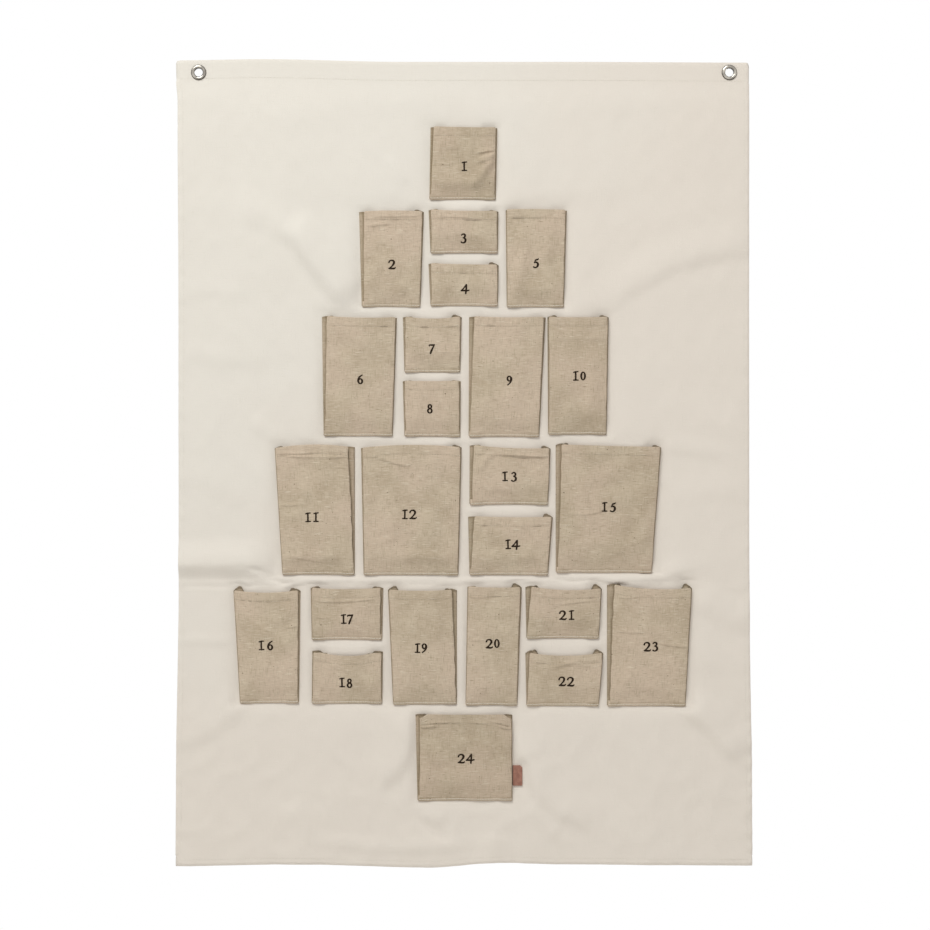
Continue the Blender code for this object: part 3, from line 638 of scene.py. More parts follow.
class Pocket:
    """One pocket's corners, read from its packed front, and the surfaces built on them."""

    def __init__(self, number):
        self.number = number
        self.name = f"pocket_{number:02d}"
        points = np.array([v.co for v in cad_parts[f"{self.name}_front"].data.vertices])
        self.low, self.high = points[:, 2].min(), points[:, 2].max()
        self.height = self.high - self.low
        foot = points[points[:, 2] < self.low + 0.1 * MM, 0]
        mouth = points[points[:, 2] > self.high - 0.1 * MM, 0]
        self.foot = {-1: foot.min(), 1: foot.max()}
        self.mouth = {-1: mouth.min(), 1: mouth.max()}
        self.width = self.foot[1] - self.foot[-1]
        values = POCKETS[number]
        self.sag, self.tilt = (value * MM for value in values[:2])
        pairs = [dict(zip(SIDES, values[at : at + 2])) for at in range(2, 12, 2)]
        self.ears, self.droops, self.wander, self.mouth_strips, self.foot_strips = pairs
        self.shade, *self.number_place = values[12:]
        self.dice = random.Random(100 + number)
        self.bows = {side: self.dice.uniform(-0.4, 0.4) * MM for side in SIDES}
        self.pucker = self.dice.uniform(0, math.tau)

    def outline(self, side, rise):
        """The pocket's outline at a height above its foot."""
        return self.foot[side] + (self.mouth[side] - self.foot[side]) * (rise / self.height)

    def seam(self, side, rise):
        """Where the pleat is sewn to the banner. Beside a mouth that is much narrower than the foot,
        the seam goes straight up, and elsewhere it follows the outline."""
        narrower = side * (self.foot[side] - self.mouth[side]) > 3 * PIXEL
        return self.foot[side] + 0 * rise if narrower else self.outline(side, rise)

    def edge(self, side, rise):
        """Where the front's folded edge is, at a height above its foot."""
        t = np.clip(rise / self.height, 0, 1)
        foot, mouth = self.foot_strips[side], self.mouth_strips[side]
        strip = (foot + (mouth - foot) * t) * PIXEL * grow(rise, 0, 4)
        bow = self.bows[side] * np.sin(np.pi * t)
        wave = self.wander[side] * MM * wobble(rise, side, 7 * self.number + side, 16 * MM)
        low = np.clip(FOOT_CORNER - rise, 0, FOOT_CORNER)
        rounding = FOOT_CORNER - np.sqrt(FOOT_CORNER**2 - low**2)
        return self.outline(side, rise) + bow + wave * grow(rise, 0, 6) - side * (strip + rounding)

    def edge_depth(self, rise):
        """The depth of the front's mid cloth at its folded edges."""
        return FACE_DEPTH + 1.7 * MM + (MOUTH_DEPTH - 1.7 * MM) * ease(rise / SWELL_HEIGHT)

    def fold_radius(self, rise):
        return np.clip(0.15 * (self.edge_depth(rise) - FACE_DEPTH), 0.3 * MM, 0.85 * MM)

    def span(self, rise):
        """Where the front begins and ends, between its folded edges."""
        radius = self.fold_radius(rise)
        return self.edge(-1, rise) + radius, self.edge(1, rise) - radius

    def from_side(self, across):
        return np.minimum(across, 1 - across) * self.width

    def droop(self, side, distance, rise):
        """How far the front's top corner hangs down, at a distance in from its side."""
        return self.droops[side] * MM * (1 - grow(distance, 1, 7)) * grow(rise - self.height, -14, 14)

    def front(self, across, rise):
        """Places (x, y, z) on the front's mid cloth, at shares across it and heights above its foot."""
        across, rise = np.broadcast_arrays(np.asarray(across, float), np.asarray(rise, float))
        left, right = self.span(rise)
        x = left + (right - left) * across
        hang = (self.sag * arch(across) + self.tilt * (across - 0.5)) * ease(rise / self.height)
        hang = hang + self.droop(-1, across * self.width, rise)
        hang = hang + self.droop(1, (1 - across) * self.width, rise)
        from_side = self.from_side(across)
        corner = 1 - grow(from_side, 9, 7)
        foot_bow = 0.18 * wobble(x, 0, 31 * self.number, 50 * MM) - 0.4 * corner
        z = self.low + rise - hang + foot_bow * MM * (1 - grow(rise, 0, 9))

        swell = ease(rise / SWELL_HEIGHT)
        stack = (1.15 + 0.85 * corner) * MM
        depth = FACE_DEPTH + stack + (MOUTH_DEPTH - stack) * swell + 0.9 * MM * arch(across) * swell
        seams = 0.25 * hump(rise, 1.5, 0.7) - 0.30 * hump(rise, 2.6, 0.8)
        puckers = np.sin(x * math.tau / (7.3 * MM) + self.pucker)
        puckers = puckers + np.sin(x * math.tau / (4.6 * MM) + 2.1 * self.pucker)
        seams = seams + 0.10 * puckers * grow(rise, 0, 3) * (1 - grow(rise, 0, 13))
        hem = rise - (self.height - HEM_STITCHES)
        seams = seams + 0.18 * grow(hem, 0, 1.6) - 0.13 * hump(hem, 0, 0.7)
        uneven = 0.48 * wobble(x, z, 3 * self.number, 32 * MM)
        uneven = uneven + 0.15 * wobble(x, z, 5 * self.number, 10 * MM)
        crumple = 1 - np.abs(wobble(x, z, 17 * self.number, 46 * MM))
        uneven = uneven + 0.48 * np.clip(crumple, -0.6, 1)
        lip = wobble(x, 0, 13 * self.number, 28 * MM) * grow(rise - self.height, -16, 16)
        depth = depth + (seams + (uneven * swell + 0.45 * lip) * grow(from_side, 0, 9)) * MM
        creases = CREASE_GAIN * fold_relief(FRONT_FOLDS, x, z)
        depth = depth + creases * grow(from_side, 0, 3) * swell
        return np.stack([x, -depth, z], axis=-1)

    def across_at(self, x, rise):
        """The share across the front that a place x has."""
        left, right = self.span(rise)
        return (x - left) / (right - left)

    def rises(self):
        """The heights of the grid's rows, closer at the seam, at the hem and where creases are."""
        top = self.height
        rows = [value * MM for value in (0.7, 1.3, 1.9, 2.6, 3.3, 4.2, 5.4, 6.8, 8.4)]
        rows += [top - value * MM for value in (11.6, 10.4, 9.7, 9.0, 8.3, 7.2, 5.6, 4.0, 2.4, 1.2, 0.5)]
        rows += list(np.arange(10.2 * MM, top - 12.4 * MM, 2.3 * MM))
        for line, _, upper, lower, _ in FRONT_FOLDS:
            spots = [place(*point) for point in line]
            inside = [self.foot[-1] < x < self.foot[1] for x, _ in spots]
            climbs = [z - self.low for _, z in spots]
            sharp = sum(inside) > len(spots) / 2 and min(upper, lower) < 2.3
            if sharp and 4 * MM < np.mean(climbs) < top - 3 * MM:
                rows += list(np.arange(min(climbs) - 2.0 * MM, max(climbs) + 1.2 * MM, 0.6 * MM))
        kept = []
        for row in sorted(rows):
            if 0.6 * MM < row <= top - 0.5 * MM and (not kept or row - kept[-1] > 0.42 * MM):
                kept.append(row)
        kept[-1] = top - 0.5 * MM
        return np.array(kept)

    def side_columns(self, side, rise):
        """The columns of one side, from its seam on the banner to the front's folded edge: the leg on
        the banner, the crease, the leg behind the front, and the turn into the front."""
        edge = self.edge(side, rise)
        seam = self.seam(side, rise)
        depth = self.edge_depth(rise) - FACE_DEPTH
        radius = self.fold_radius(rise)
        turn = np.clip(0.09 * depth, 0.22 * MM, 0.5 * MM)
        inner_x = (seam + edge) / 2 - side * PLEAT_DEPTH + side * turn
        edge_x = edge - side * radius
        back, middle, near = 0.32 * MM, 0.35 * depth + 0.1 * MM, depth - 2 * radius
        ramp = grow(rise - self.height, -13, 13)
        drop = -side * self.tilt / 2 * ease(rise / self.height)
        swell = ease(rise / SWELL_HEIGHT)
        out = []

        def put(x, away, lift, hang):
            z = self.low + rise + drop + self.ears[side] * MM * lift * ramp - hang
            out.append(np.stack([x, -(FACE_DEPTH + away), z], axis=-1))

        def peak(share):
            """The height of the folded top, from the front's edge in to the crease."""
            tail = 1 - 0.85 * ease((share - 0.48) / 0.3)
            return (0.25 + 0.75 * ease(share / 0.3)) * tail * ease(share / 0.04)

        def slant(share):
            """How far the folded top has come down towards the crease."""
            return 2.0 * MM * ease((share - 0.45) / 0.3) * ramp

        def leg(share, outer_x, low, high, bend):
            x = outer_x + (inner_x - outer_x) * share
            return x, low + (high - low) * share + bend * MM * math.sin(math.pi * share) * swell

        for share in LEG_SHARES:
            x, away = leg(share, seam, back, middle - turn, 0.35)
            put(x, away, 0.75 * peak(share), slant(share))
        for angle in map(math.radians, CREASE_ANGLES):
            x = inner_x - side * turn * math.cos(angle)
            put(x, middle + turn * math.sin(angle), 0.6 * peak(1.0), slant(1.0))
        for share in reversed(LEG_SHARES):
            x, away = leg(share, edge_x, near, middle + turn, -0.3)
            put(x, away, peak(share), slant(share))
        for angle in map(math.radians, EDGE_ANGLES):
            x = edge_x + side * radius * math.cos(angle)
            put(x, depth - radius + radius * math.sin(angle), 0.0, self.droop(side, 0.0, rise))
        return np.stack(out, axis=1)

    def darkness(self, rise, across):
        """Painted shade for the linen's material: in the pleats, at their folded tops and round the
        front's folded edges, along the pressed lines and in the foot's corners, over the pocket's even
        darkening.
        """
        # Painted shade at the pleats' folded tops, near the mouth.
        tops = 0.9 * grow(rise - self.height, -4, 3)[:, None]
        pleats = []
        for side in SIDES:
            strip = np.abs(self.edge(side, rise) - self.seam(side, rise))
            hidden = (strip / (strip / 2 + PLEAT_DEPTH))[:, None]
            painted_shade = np.full((len(rise), 2 * LEG + CREASE + EDGE), 0.8)
            painted_shade[:, :LEG] = 0.7 + 1.2 * ease((np.array(LEG_SHARES) - hidden + 0.14) / 0.16)
            painted_shade[:, :-EDGE] += tops
            painted_shade[:, -EDGE:] = EDGE_PAINTED_SHADE
            pleats.append(painted_shade)
        # Painted shade along the pressed line above the foot and the line at the hem, and in the foot's
        # corners.
        pressed = 0.30 * hump(rise, 3.2, 0.8) + 0.14 * hump(rise - self.height, -9.8, 0.7)
        corners = (1 - grow(self.from_side(across), 9, 5)) * (1 - grow(rise, 2, 3))[:, None]
        front = pressed[:, None] + 0.5 * corners
        return self.shade + np.concatenate([pleats[0], front, pleats[1][:, ::-1]], axis=1)

    def build(self):
        rise = self.rises()
        across = np.linspace(0, 1, max(12, round(self.width / (2.2 * MM))) + 1)
        front = self.front(across, rise[:, None])
        left, right = (self.side_columns(side, rise) for side in SIDES)
        self.points = np.concatenate([left, front, right[:, ::-1]], axis=1)
        inside = slice(left.shape[1], left.shape[1] + len(across))

        # The rows: what is turned in at the foot, the pocket, and what is turned in at the mouth.
        foot, mouth = np.array(FOOT_TURN_mm) * MM, np.array(MOUTH_TURN_mm) * MM
        first, last = len(foot), len(foot) + len(rise)
        points = np.zeros((last + len(mouth), *self.points.shape[1:]))
        points[first:last] = self.points
        tight = np.clip((-front[0, :, 1] - FACE_DEPTH - 0.3 * MM) / (0.72 * MM), 0.3, 1)
        for row, (up, behind) in zip(points, foot):
            row[inside] = front[0] + (0, 0, up - rise[0])
            row[inside, 1] += behind * tight
        for row, (down, behind) in zip(points[last:], mouth):
            row[inside] = front[-1] + (0, behind, self.height - rise[-1] - down)
        valid = np.zeros((len(points) - 1, points.shape[1] - 1), bool)
        valid[first : last - 1] = True
        valid[:, inside.start : inside.stop - 1] = True
        # Painted shade for the linen, on top of the pocket's even darkening.
        painted_shade = np.full(points.shape[:2], self.shade)
        painted_shade[first:last] = self.darkness(rise, across)

        steps = np.linalg.norm(np.diff(self.points[len(rise) // 2], axis=0), axis=1)
        climb = np.concatenate([-foot[:, 0] - 0.5 * MM, rise, self.height + mouth[:, 0] + 0.5 * MM])
        shift = self.dice.uniform(0, 3), self.dice.uniform(0, 3)
        uv = np.stack(np.meshgrid(running(steps) + shift[0], climb + shift[1]), axis=-1)
        cloth = patch(f"{self.name}_cloth", points, uv, valid, LINEN_CLOTH, LINEN, painted_shade)
        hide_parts(f"{self.name}_front", f"{self.name}_pleats")
        self.join(cloth)

    def join(self, obj):
        """Bakes a piece's transform into its mesh."""
        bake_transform(obj)


# --------------------------------------------------------------- stitches
def stitch_mesh(name, starts, ends, normals, radius, material, bow=0.7):
    """Short lengths of thread, each bowed out of the cloth along its normal."""
    starts, ends, normals = (np.asarray(value, float) for value in (starts, ends, normals))
    run = ends - starts
    run /= np.linalg.norm(run, axis=1)[:, None]
    across = np.cross(run, normals)
    across /= np.linalg.norm(across, axis=1)[:, None]
    out = np.cross(across, run)
    points = []
    for share, lift, wide in STITCH_SHAPE:
        centre = starts + (ends - starts) * share + out * (lift * bow * radius)
        for angle in np.arange(STITCH_CORNERS) * math.tau / STITCH_CORNERS:
            spoke = across * math.cos(angle) * wide + out * math.sin(angle) * wide * 0.8
            points.append(centre + spoke * radius)
    faces = []
    for low in range(0, len(points) - STITCH_CORNERS, STITCH_CORNERS):
        ring = [low + corner for corner in range(STITCH_CORNERS)]
        for first, second in zip(ring, ring[1:] + ring[:1]):
            faces.append((first, first + STITCH_CORNERS, second + STITCH_CORNERS, second))
    order = list(range(len(points)))
    faces += [order[:STITCH_CORNERS], order[: -STITCH_CORNERS - 1 : -1]]
    bases = range(0, len(starts) * len(points), len(points))
    every = [tuple(base + corner for corner in face) for base in bases for face in faces]
    return link(name, mesh_of(name, np.stack(points, axis=1).reshape(-1, 3), every), material)


def stitch_row(surface, length, pitch, dice, fill=0.76):
    """Starts, ends and normals of the stitches along a line of a surface, a function of metres."""
    count = max(2, int(length / pitch))
    step = length / count
    skews = np.array([dice.uniform(-0.05, 0.05) for _ in range(count)])
    low = (np.arange(count) + (1 - fill) / 2 + skews) * step
    return surface(low), surface(low + step * fill), np.tile((0.0, -1.0, 0.0), (count, 1))


def sew_pocket(pocket):
    """The stitched foot and hem of one pocket, and dark thread over the raw tops of its pleats, dark
    enough to paint the shade in the pocket's mouth as well.
    """
    dice = pocket.dice

    def sew(what, stitches, radius_mm, material, bow=0.7):
        name = f"{pocket.name}_{what}_thread"
        pocket.join(stitch_mesh(name, *stitches, radius_mm * MM, material, bow))

    def row(rise, fill):
        def at(distance):
            wander = 0.12 * MM * np.sin(distance * 90 + pocket.number)
            return pocket.front(distance / pocket.width, rise + wander) - (0, ON_LINEN, 0)

        return stitch_row(at, pocket.width, STITCH_PITCH, dice, fill)

    sew("foot", row(FOOT_STITCHES, 1.0), 0.30, LIGHT_THREAD, 0.3)
    sew("hem", row(pocket.height - HEM_STITCHES, 0.76), 0.16, SOFT_THREAD)

    # Dark loops over the pleats' tops: thread, and painted shade of the opening behind them.
    stitches = []
    loops = 11
    for side in SIDES:
        if pocket.ears[side] + pocket.droops[side] < 1.5:
            continue
        for first in (LEG + CREASE, 0):
            columns = np.arange(first, first + LEG)
            columns = columns if side < 0 else pocket.points.shape[1] - 1 - columns
            for t in (np.arange(loops) + 0.5) / loops * (LEG - 1):
                cell, part = int(t), t - int(t)
                rows = pocket.points[[-1, -3]][:, columns[cell : cell + 2]]
                upper, lower = rows[:, 0] * (1 - part) + rows[:, 1] * part - (0, ON_LINEN, 0)
                slant = np.array([dice.uniform(0.1, 0.6) * MM, 0, 0])
                stitches.append((upper + (0, 0, 0.2 * MM) - slant, lower + slant, (0, -1, 0)))
    if stitches:
        sew("edge", zip(*stitches), 0.24, DARK_THREAD_AND_PAINTED_SHADE, 0.4)


# ---------------------------------------------------------------- numbers
# The strokes of each digit, in units of its height: points (x, y, half width) that a smooth line
# runs through, or an oval's middle, its two radii, and its half width at the sides and the ends.
DIGITS = """
0 oval 0,0.5,0.21,0.42,0.085,0.045;
1 line 0,0.05,0.075 0,0.5,0.07 0,0.95,0.075;
1 line -0.22,0.9,0.045 -0.05,0.95,0.05 0.25,0.97,0.045;
1 line -0.23,0.045,0.045 0,0.05,0.045 0.26,0.045,0.045;
2 line -0.3,0.72,0.07 -0.24,0.86,0.055 -0.08,0.945,0.055 0.12,0.93,0.075 0.24,0.8,0.095
    0.24,0.64,0.095 0.14,0.46,0.07 -0.02,0.28,0.05 -0.22,0.1,0.045;
2 line -0.3,0.06,0.05 -0.15,0.075,0.075 0.12,0.06,0.08 0.3,0.07,0.06 0.4,0.17,0.035;
3 line -0.2,0.86,0.05 -0.08,0.95,0.05 0.08,0.95,0.065 0.18,0.84,0.085 0.16,0.7,0.08
    0.04,0.575,0.05 -0.03,0.55,0.04;
3 line 0,0.565,0.045 0.14,0.5,0.07 0.23,0.36,0.09 0.21,0.18,0.09 0.08,0.055,0.06 -0.08,0.03,0.05
    -0.22,0.1,0.065;
4 line 0.1,0.95,0.05 -0.12,0.62,0.05 -0.4,0.33,0.05;
4 line -0.42,0.31,0.05 -0.1,0.33,0.075 0.2,0.33,0.07 0.42,0.36,0.045 0.42,0.4,0.03;
4 line 0.14,0.95,0.07 0.13,0.5,0.08 0.08,0.02,0.07;
5 line -0.02,0.86,0.05 0.14,0.885,0.065 0.3,0.97,0.04;
5 line -0.02,0.87,0.04 -0.08,0.72,0.04 -0.14,0.56,0.04;
5 line -0.15,0.55,0.045 -0.02,0.61,0.055 0.13,0.57,0.08 0.23,0.42,0.1 0.21,0.22,0.095
    0.08,0.06,0.06 -0.08,0.02,0.05 -0.23,0.09,0.065;
6 line 0.22,0.96,0.04 0.04,0.86,0.055 -0.12,0.68,0.075 -0.21,0.46,0.09 -0.2,0.25,0.09
    -0.1,0.08,0.06 0.03,0.03,0.05 0.16,0.11,0.075 0.22,0.28,0.09 0.17,0.46,0.075 0.05,0.56,0.05
    -0.08,0.52,0.045 -0.17,0.4,0.05;
7 line -0.28,0.8,0.035 -0.26,0.9,0.05 -0.05,0.915,0.075 0.18,0.915,0.07 0.28,0.95,0.05;
7 line 0.26,0.93,0.05 0.12,0.62,0.065 -0.02,0.3,0.085 -0.12,0.03,0.08;
8 oval 0,0.745,0.165,0.2,0.075,0.05;
8 oval 0,0.275,0.21,0.235,0.08,0.05;
9 line 0.2,0.78,0.08 0.21,0.6,0.085 0.13,0.36,0.07 -0.02,0.17,0.055 -0.2,0.02,0.045;
9 oval -0.02,0.7,0.19,0.25,0.08,0.05
"""


def smooth_line(points, steps=8):
    """Points close together on a smooth line through the given ones."""
    points = np.array(points, float)
    ends = np.vstack([2 * points[0] - points[1], points, 2 * points[-1] - points[-2]])
    t = (np.arange(steps) / steps)[:, None]
    out = []
    for a, b, c, d in zip(ends, ends[1:], ends[2:], ends[3:]):
        bend = (2 * a - 5 * b + 4 * c - d) * t**2 + (3 * b - a - 3 * c + d) * t**3
        out.append(0.5 * (2 * b + (c - a) * t + bend))
    return np.vstack([*out, points[-1:]])


def oval_line(x, y, wide, tall, side, end):
    turn = np.linspace(0, math.tau, 49)
    half = end + (side - end) * np.abs(np.cos(turn)) ** 1.5
    return np.stack([x + wide * np.cos(turn), y + tall * np.sin(turn), half], axis=1)


STROKES = {}
for stroke in DIGITS.strip().split(";"):
    digit, kind, *points = stroke.split()
    points = [numbers(point, ",") for point in points]
    line = oval_line(*points[0]) if kind == "oval" else smooth_line(points)
    STROKES.setdefault(digit, []).append(line)


def ink_field(digit, x, y):
    """How far each place is outside a digit's strokes, below zero inside them."""
    field = np.full(x.shape, 1e9)
    for line in STROKES[digit]:
        for (ax, ay, aw), (bx, by, bw) in zip(line, line[1:]):
            run = (bx - ax) ** 2 + (by - ay) ** 2
            t = np.clip(((x - ax) * (bx - ax) + (y - ay) * (by - ay)) / max(run, 1e-12), 0, 1)
            gap = np.hypot(x - ax - t * (bx - ax), y - ay - t * (by - ay))
            field = np.minimum(field, gap - (aw + (bw - aw) * t))
    return field - INK_SPREAD


def filled(field, x, y):
    """Points and faces of the region where a field on a grid is below zero."""
    points, faces, known = [], [], {}

    def corner(spot):
        if spot not in known:
            known[spot] = len(points)
            points.append((x[spot], y[spot]))
        return known[spot]

    def crossing(*spots):
        first, second = key = tuple(sorted(spots))
        if key not in known:
            t = min(max(field[first] / (field[first] - field[second]), 0.08), 0.92)
            known[key] = len(points)
            points.append(tuple(grid[first] + (grid[second] - grid[first]) * t for grid in (x, y)))
        return known[key]

    for row, column in np.ndindex(field.shape[0] - 1, field.shape[1] - 1):
        ring = [(row, column), (row, column + 1), (row + 1, column + 1), (row + 1, column)]
        face = []
        for here, after in zip(ring, ring[1:] + ring[:1]):
            if field[here] < 0:
                face.append(corner(here))
            if (field[here] < 0) != (field[after] < 0):
                face.append(crossing(here, after))
        if len(face) > 2:
            faces.append(tuple(face))
    return points, faces


def stamp_number(pocket):
    """The pocket's number, as ink that lies on its front."""
    middle_x, middle_y, pitch = pocket.number_place
    digits = str(pocket.number)
    dice = random.Random(900 + pocket.number)
    x, y = np.meshgrid(np.arange(-0.56, 0.58, INK_CELL), np.arange(-0.10, 1.12, INK_CELL))
    points, faces = [], []
    for index, digit in enumerate(digits):
        shift = pitch * (index - (len(digits) - 1) / 2)
        drop = 0.9 if (pocket.number, index) == (18, 1) else dice.uniform(-0.25, 0.25)
        centre = place(middle_x + shift + dice.uniform(-0.2, 0.2), middle_y + drop)
        turn = math.radians(dice.uniform(-2.2, 2.2))
        uneven = 0.008 * wobble(x, y, 40 * pocket.number + index, 0.10, waves=9)
        flat, cells = filled(ink_field(digit, x, y) + uneven, x, y)
        faces += [tuple(len(points) + spot for spot in face) for face in cells]
        across, up = (np.array(flat) - (0, 0.5)).T * NUMBER_HEIGHT
        turned_x = centre[0] + across * math.cos(turn) - up * math.sin(turn)
        turned_z = centre[1] + across * math.sin(turn) + up * math.cos(turn)
        points += list(zip(turned_x, turned_z))
    x, z = np.array(points).T
    rise = z - pocket.low
    for _ in range(4):
        spots = pocket.front(pocket.across_at(x, rise), rise)
        rise = rise + z - spots[:, 2]
    name = f"{pocket.name}_number"
    ink = link(name, mesh_of(name, spots - (0, ON_LINEN, 0), faces), INK)
    thicken(ink, 0.12 * MM)
    pocket.join(ink)


# ----------------------------------------------------------------- banner
# How far the banner's edges are drawn in or dip, in shares of EDGE_DRAW_IN and EDGE_WAVE: the sides
# from the top down, and the top and bottom from left to right.
LEFT_DRAW = ((0.0, 0.0), (0.025, 0.15), (0.05, 0.7), (0.30, 1.0), (0.65, 1.1), (0.9, 0.15), (1.0, 0.0))
RIGHT_DRAW = ((0.0, 1.1), (0.35, 1.15), (0.60, 1.1), (0.70, 0.9), (0.9, 0.15), (1.0, 0.0))
TOP_DIP = ((0.0, -0.3), (0.15, -0.8), (0.39, 0.3), (0.67, 0.3), (1.0, 0.6))
BOTTOM_DIP = ((0.0, 0.3), (0.21, -0.35), (0.44, 0.9), (0.56, -1.0), (0.67, -0.35), (1.0, 0.1))

# Folds of the banner, for read_folds().
BANNER_FOLDS = read_folds("""
232,212 262,218 296,234: 1.5 30 17 1
280,226 297,236 313,258 331,282 352,306: 6.4 34 17 1
766,241 709,252 671,263 646,276 624,289 604,307: 2.7 17 34 1
130,564 215,563 250,563 274,566: 5.6 28 18 1
172,586 236,587 264,584: -0.5 5 5 0.6
246,566 262,572 272,579.5 284,584 298,580: -2 7 3.5 0.3
292,579 330,579.5 366,578: 0.8 4 8 1
350,590 356,584 362,579: 0.9 3 3 0.4
368,577 385,581 412,583 444,581 462,576: -0.5 8 7 0.8
478,577 510,580 544,578: 0.2 6 8 1
548,578 572,581.5 592,580 606,577: -1.1 6 4 0.5
598,586 630,580 651,576 673,571 700,566: 1.8 16 12 1
686,597 714,606 736,618 766,618: 2.6 26 20 1
170,640 210,642 240,641: 1 10 6 0.8
246,698 212,728 170,746: 1.9 16 30 1
417,704 409,738 395,768 372,790: 3.4 15 36 1
412,808 424,824 450,842: -1.8 9 9 0.8
424,812 434,818 448,816: 1.6 11 10 1
678,702 707,720 724,740 748,761: 5.6 32 16 1
510,722 527,760 543,792 560,810 604,828: 3.4 30 14 1
526,802 540,820 560,840: 1.6 15 12 1
498,709.5 520,712.5 545,710: -1.4 5 4 0.4
545,706 600,709 650,706: -0.8 5 4 0.6
390,707 412,709 440,708: -0.8 4 4 0.6
660,444 690,450 730,456: 1.2 16 10 1
250,418 264,430 276,443: 1.2 16 11 1
280,446 310,444 348,443: -0.7 5 4 0.6
352,441.5 385,444 420,441 446,439.5: -1.4 5 4 0.4
484,442 520,444.5 548,442: -0.8 5 4 0.6
330,313 364,315.5 398,313: -0.7 5 4 0.6
424,312 450,314.5 490,312.5: -0.7 5 4 0.6
290,796 298,835 302,880: 2.2 32 28 1
492,832 488,880: 2.4 28 24 1
606,812 640,843 658,880: 2 30 24 1
300,840 380,847 490,843: 1.6 14 10 1
186,796 196,836 188,880: 1.6 24 22 1
176,292 215,290 256,298: 0.6 14 11 1
170,350 230,360 270,360: 0.7 18 13 1
170,468 204,480 256,504: 0.9 24 18 1
672,500 716,490 766,492: 0.9 22 16 1
664,390 700,420 750,430: 0.8 26 18 1
500,136 522,168 540,190: 0.7 18 16 1
390,156 398,172 406,186: 0.8 9 8 1
650,636 700,660 766,664: 1 28 20 1
""")


def banner_relief(x, z, pockets):
    """How far the banner's face stands out: folds and a soft fullness between the pockets."""
    clear = np.full(np.broadcast(x, z).shape, 1.0)
    for pocket in pockets.values():
        in_left, in_right = x - pocket.mouth[-1], pocket.mouth[1] - x
        top = pocket.high + pocket.ears[-1] * MM * (1 - grow(in_left, 10, 5))
        top = top + pocket.ears[1] * MM * (1 - grow(in_right, 10, 5))
        left = min(pocket.foot[-1], pocket.mouth[-1])
        right = max(pocket.foot[1], pocket.mouth[1])
        above = z - pocket.high
        behind = (1 - grow(above, 0, 14)) * grow(above, -11, 9)
        behind = behind * grow(np.minimum(in_left, in_right), 12, 8)
        away = outside(x, z, left, right, pocket.low, top)
        clear = np.minimum(clear, np.maximum(away, 8 * MM * behind))
    for side in SIDES:
        clear = np.minimum(clear, np.maximum(np.hypot(x - side * EYELET_X, z) - 9 * MM, 0))
    low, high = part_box("leather_tag")
    away = outside(x, z, low.x, high.x, low.z, high.z)
    clear = np.minimum(clear, np.maximum(away - 1 * MM, 0))
    puff = 0.9 * grow(clear, 0, 17) + 1.1 * grow(clear, 0, 6)
    slack = 0.40 * wobble(x, z, 11, 90 * MM) + 0.16 * wobble(x, z, 12, 28 * MM)
    crumple = np.clip(1 - 1.6 * np.abs(wobble(x, 1.7 * z, 23, 75 * MM)), -0.4, 1)
    crumple = 0.55 * crumple * (0.30 + 0.70 * grow(-z, 600, 160))
    full = (puff + slack + crumple) * MM + fold_relief(BANNER_FOLDS, x, z)
    free = grow(clear, 0.2, 3.2)
    full = full * free * (0.15 + 0.85 * grow(TOP_EDGE - TOP_HEM - z, -6, 34))
    step = 0.12 * MM * grow(z - TOP_EDGE + TOP_HEM, 0, 2)
    at_side = np.maximum(np.abs(x) - BANNER_WIDTH / 2 + 9 * MM, 0) / (9 * MM)
    at_foot = np.maximum(BOTTOM_EDGE + 9 * MM - z, 0) / (9 * MM)
    low_right = grow(-z, 660, 50) * (x > 0)
    ripples = np.sin(z * math.tau / 0.0172 + wobble(z, 0, 17, 0.06))
    pucker = (0.30 + 0.75 * low_right) * at_side * ripples
    ripples = np.sin(x * math.tau / 0.021 + wobble(x, 0, 19, 0.08))
    pucker = (pucker + 0.25 * at_foot * ripples) * MM
    curl = 0.9 * MM * (1 - grow(z - BOTTOM_EDGE, 0, 2.6))
    curl = np.maximum(curl, 0.6 * MM * (1 - grow(BANNER_WIDTH / 2 - x, 0, 2.6)))
    return full + step + pucker * free - curl


def banner_place(x, z, depth):
    """A place on the hanging banner, with its edges drawn in and dipped."""
    across = (x + BANNER_WIDTH / 2) / BANNER_WIDTH
    down = (TOP_EDGE - z) / BANNER_HEIGHT
    inner = 0.248
    reach = np.clip((np.abs(x) - inner) / (BANNER_WIDTH / 2 - inner), 0, None)
    draw = np.where(x < 0, along(LEFT_DRAW, down), -along(RIGHT_DRAW, down)) * EDGE_DRAW_IN
    top = ease(1 - (TOP_EDGE - z - TOP_HEM) / TOP_HEM)
    low = ease(1 - (z - BOTTOM_EDGE) / (BOTTOM_HEM + 0.030))
    dip = (along(TOP_DIP, across) * top + along(BOTTOM_DIP, across) * low) * EDGE_WAVE
    corner = np.hypot(BANNER_WIDTH / 2 - np.abs(x), TOP_EDGE - z)
    rounding = 0.9 * MM * (1 - grow(corner, 0, 2.4))
    x = x - np.sign(x) * rounding + draw * reach
    return np.stack(np.broadcast_arrays(x, -depth, z - dip - rounding), axis=-1)


def banner_lines(low, high, step, fine_bands, fine=0.8 * MM):
    """Grid lines from low to high, closer in the fine bands."""
    out = [low]
    while out[-1] < high:
        near = any(first <= out[-1] <= last for first, last in fine_bands)
        out.append(out[-1] + (fine if near else step))
    out = np.array(out)
    return low + (out - low) * (high - low) / (out[-1] - low)


def hem_turn(hem):
    """A hem's outline from an edge of the banner's face: how far out, and how far back."""
    turn = [(out * MM, back * MM) for out, back in HEM_TURN_mm]
    turn += [(-hem * share, 1.40 * MM) for share in (0.12, 0.4, 0.7, 0.93)]
    turn += [(-hem, 1.28 * MM), (-hem - 0.1 * MM, 1.05 * MM), (-hem, 0.80 * MM)]
    turn += [(-hem + 1.2 * MM, 0.72 * MM)]
    return np.array(turn)


